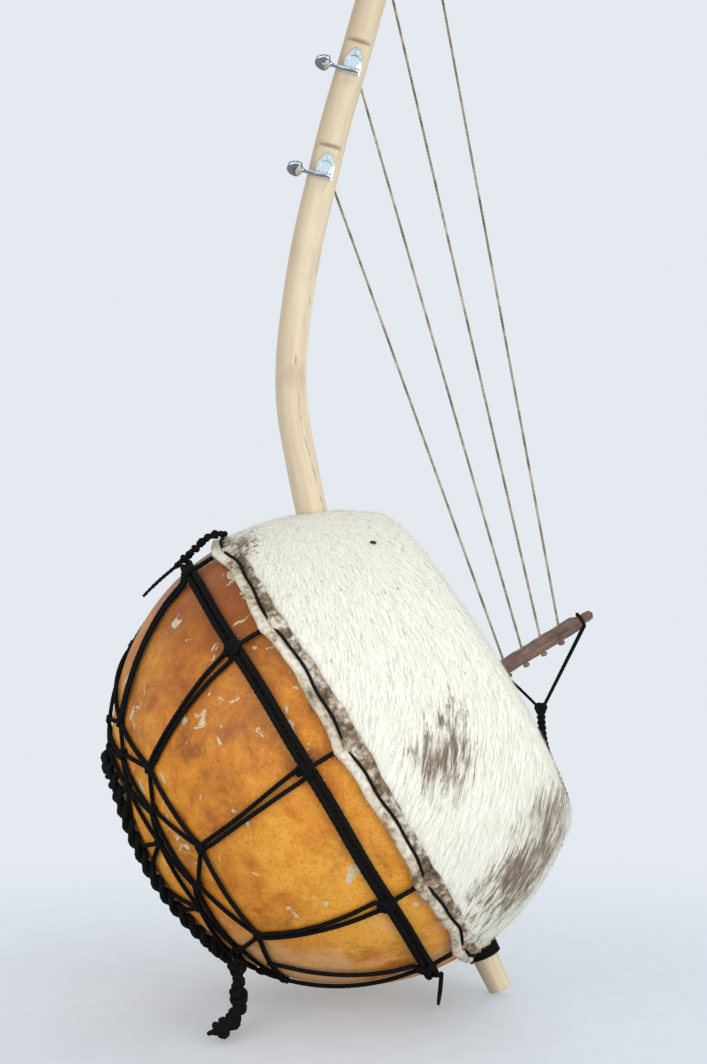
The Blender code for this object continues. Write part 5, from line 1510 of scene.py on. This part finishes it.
class BOLON_OT_strings(bpy.types.Operator):
    """Makes the twisted strings with their knots, and their turns on the posts."""

    bl_idname = "bolon.strings"
    bl_label = "Strings"

    def execute(self, context):
        fibre = finish("string_fibre")
        thin = sizes().string / MM
        for k, (high, touch, place) in enumerate(zip(STRING_HOLES, STRING_TOUCH, tuner_places()), 1):
            hole = bowl_to_world((BRIDGE_X, 0, high))
            touch = np.array(touch)
            way = unit(touch - hole)
            start = hole - way * 10.2
            line = even(np.stack((start, touch + way * STRING_TUCK)), 4.0)
            left = travelled(line)[-1] - travelled(line)
            run = [(line, thin * np.interp(left, (3.0, 8.0), (0.5, 1.0)), False)]
            piece = cords(f"string_{k}_cord", run, fibre, STRING_LAY, 1.3, 8, 2, STRING_GROOVE)
            dress(piece, "frame", f"string_{k}", slot="string")
            tied = [(start, way, ASIDE, STRING_KNOT)]
            dress(knots(f"string_{k}_knot", tied, fibre, STRING_KNOT_THREAD), "frame", slot="string")
            run = [(self.winding(hole, touch, place[0]), thin, False)]
            piece = cords(f"winding_{k}_cord", run, fibre, STRING_LAY, 0.9, 8, 2, STRING_GROOVE)
            dress(piece, f"tuner_post_{k}", f"winding_{k}", slot="string")
        return {"FINISHED"}

    def winding(self, hole, touch, origin):
        """Turns round the post from where the string meets it, starting just before the string's end."""
        out = touch - origin
        turns, pitch = 3.2, 2.9
        theta = np.linspace(-0.28, turns * TURN, 150)
        rho = 5.09 - 0.6 * np.clip(theta / TURN, 0, 1)
        side = np.cross(touch - hole, (0, 1, 0))
        spin = -1.0 if np.dot(side, (out[0], 0, out[2])) > 0 else 1.0
        turn = math.atan2(out[2], out[0]) + spin * theta
        rise = touch[1] + pitch * theta / TURN
        return np.stack((origin[0] + rho * np.cos(turn), rise, origin[2] + rho * np.sin(turn)), 1)


class BOLON_OT_tuners(bpy.types.Operator):
    """Dresses the four tuners: rounded chrome shells over their plain solids, brass gears and steel worms."""

    bl_idname = "bolon.tuners"
    bl_label = "Tuners"

    def execute(self, context):
        chrome = finish("bright_chrome")
        for k, place in enumerate(tuner_places(), 1):
            for part, body, width in (
                ("housing", "frame", 0.35),
                ("bushing", "frame", 0.3),
                ("mount_screw", "frame", 0.15),
                ("post", f"tuner_post_{k}", 0.25),
            ):
                node = f"{part}_{k}"
                dress(self.rounded(node, width, chrome), body, node, slot="chrome")
            dress(self.cap(f"cap_{k}", chrome), "frame", f"cap_{k}", slot="chrome")
            piece = self.button(f"button_{k}_chrome", place, chrome)
            dress(piece, f"tuner_key_{k}", f"button_{k}", slot="chrome")
            for part, metal_name in (("gear", "gear_brass"), ("worm_shaft", "worm_steel")):
                slots = frame["nodes"][f"{part}_{k}"].data.materials
                slots.clear()
                slots.append(finish(metal_name))
        return {"FINISHED"}

    def cap(self, node, material):
        """A flat round cover with a fine groove near its edge."""
        spots = np.array([v.co for v in frame["nodes"][node].data.vertices]) / MM
        low, high = spots.min(0), spots.max(0)
        start = ((low[0] + high[0]) / 2, high[1], (low[2] + high[2]) / 2)
        wide, deep = (high[0] - low[0]) / 2, high[1] - low[1]
        steps = ((0, 0), (0.3, 0.7), (0.9, 0.8), (1.0, 0.4), (1.5, 0.4), (1.6, 0.85))
        profile = [(0, 0)] + [(wide - inset, deep * rise) for inset, rise in steps] + [(0, 0.9 * deep)]
        return sharpen(mesh_object(node + "_chrome", *lathe(profile, start, (0, -1, 0), 40), material), 35)

    def button(self, name, place, material):
        """A half-moon button with a rounded rim, standing askew on its shaft as the key was left."""
        origin, along, back, up = place
        lean = math.radians(52)
        flat = math.cos(lean) * up - math.sin(lean) * back
        thick = np.cross(along, flat)
        root = origin - BUTTON_ROOT[0] * along - BUTTON_ROOT[1] * back - BUTTON_ROOT[2] * up
        reach, half = np.array(BUTTON_REACH), np.array(BUTTON_HALF)
        outline = np.concatenate((np.stack((reach, half), 1), np.stack((reach, -half), 1)[-2::-1]))
        centre = np.array((7.4, 0.0))
        rings = []
        for shrink, level in BUTTON_PROFILE:
            flat_ring = centre + (outline - centre) * shrink
            rings.append(root - flat_ring[:, :1] * along + flat_ring[:, 1:] * flat + level * thick)
        points, faces = np.concatenate(rings), grid_faces(len(rings), len(outline))
        collar = [(0, -0.6), (2.9, -0.6), (3.1, -0.2), (3.1, 1.4), (2.6, 2.4), (0, 2.6)]
        more, quads = lathe(collar, root, -along, 24)
        faces += [tuple(i + len(points) for i in quad) for quad in quads]
        return sharpen(mesh_object(name, np.concatenate((points, more)), faces, material), 50)

    def rounded(self, node, width, material):
        """The CAD solid with its edges worn round."""
        name = node + "_chrome"
        mesh = frame["nodes"][node].data.copy()
        mesh.name = name
        work = bmesh.new()
        work.from_mesh(mesh)
        bmesh.ops.remove_doubles(work, verts=work.verts, dist=2e-6)
        flat = [e for e in work.edges if len(e.link_faces) == 2 and e.calc_face_angle(0) < 0.01]
        bmesh.ops.dissolve_edges(work, edges=flat, use_verts=True)
        work.to_mesh(mesh)
        work.free()
        obj = plain_object(name, mesh, material)
        bevel = obj.modifiers.new("worn edge", "BEVEL")
        bevel.width = width * MM
        bevel.segments = 2
        bevel.limit_method = "ANGLE"
        bevel.angle_limit = math.radians(38)
        smooth = evaluated(obj)
        obj.modifiers.remove(bevel)
        obj.data = smooth
        smooth.shade_smooth()
        return sharpen(obj, 40)


STEPS = (
    BOLON_OT_stage,
    BOLON_OT_free_cords,
    BOLON_OT_gourd,
    BOLON_OT_hide,
    BOLON_OT_lacing,
    BOLON_OT_neck,
    BOLON_OT_bridge,
    BOLON_OT_strings,
    BOLON_OT_tuners,
)
GROUPS = {"bolon_sizes": BolonSizes, "bolon_colours": BolonColours, "bolon_stage": BolonStage}


class BOLON_PT_pieces(bpy.types.Panel):
    """Lists the steps that dress the bolon, and its sizes and colours."""

    bl_idname = "BOLON_PT_pieces"
    bl_label = "Bolon"
    bl_space_type = "VIEW_3D"
    bl_region_type = "UI"
    bl_category = "Bolon"

    def draw(self, context):
        for step in STEPS:
            self.layout.operator(step.bl_idname)
        for name in GROUPS:
            group = getattr(context.scene, name)
            box = self.layout.box()
            for key in group.bl_rna.properties.keys():
                if key not in ("rna_type", "name"):
                    box.prop(group, key)


CLASSES = (*GROUPS.values(), *STEPS, BOLON_PT_pieces)


def register():
    for cls in CLASSES:
        bpy.utils.register_class(cls)
    for name, group in GROUPS.items():
        setattr(bpy.types.Scene, name, bpy.props.PointerProperty(type=group))


def unregister():
    for name in GROUPS:
        delattr(bpy.types.Scene, name)
    for cls in reversed(CLASSES):
        bpy.utils.unregister_class(cls)


def main():
    register()
    bpy.ops.bolon.stage()
    bpy.ops.bolon.free_cords()
    bpy.ops.bolon.gourd()
    bpy.ops.bolon.hide()
    bpy.ops.bolon.lacing()
    bpy.ops.bolon.neck()
    bpy.ops.bolon.bridge()
    bpy.ops.bolon.strings()
    bpy.ops.bolon.tuners()


if __name__ == "__main__":
    main()
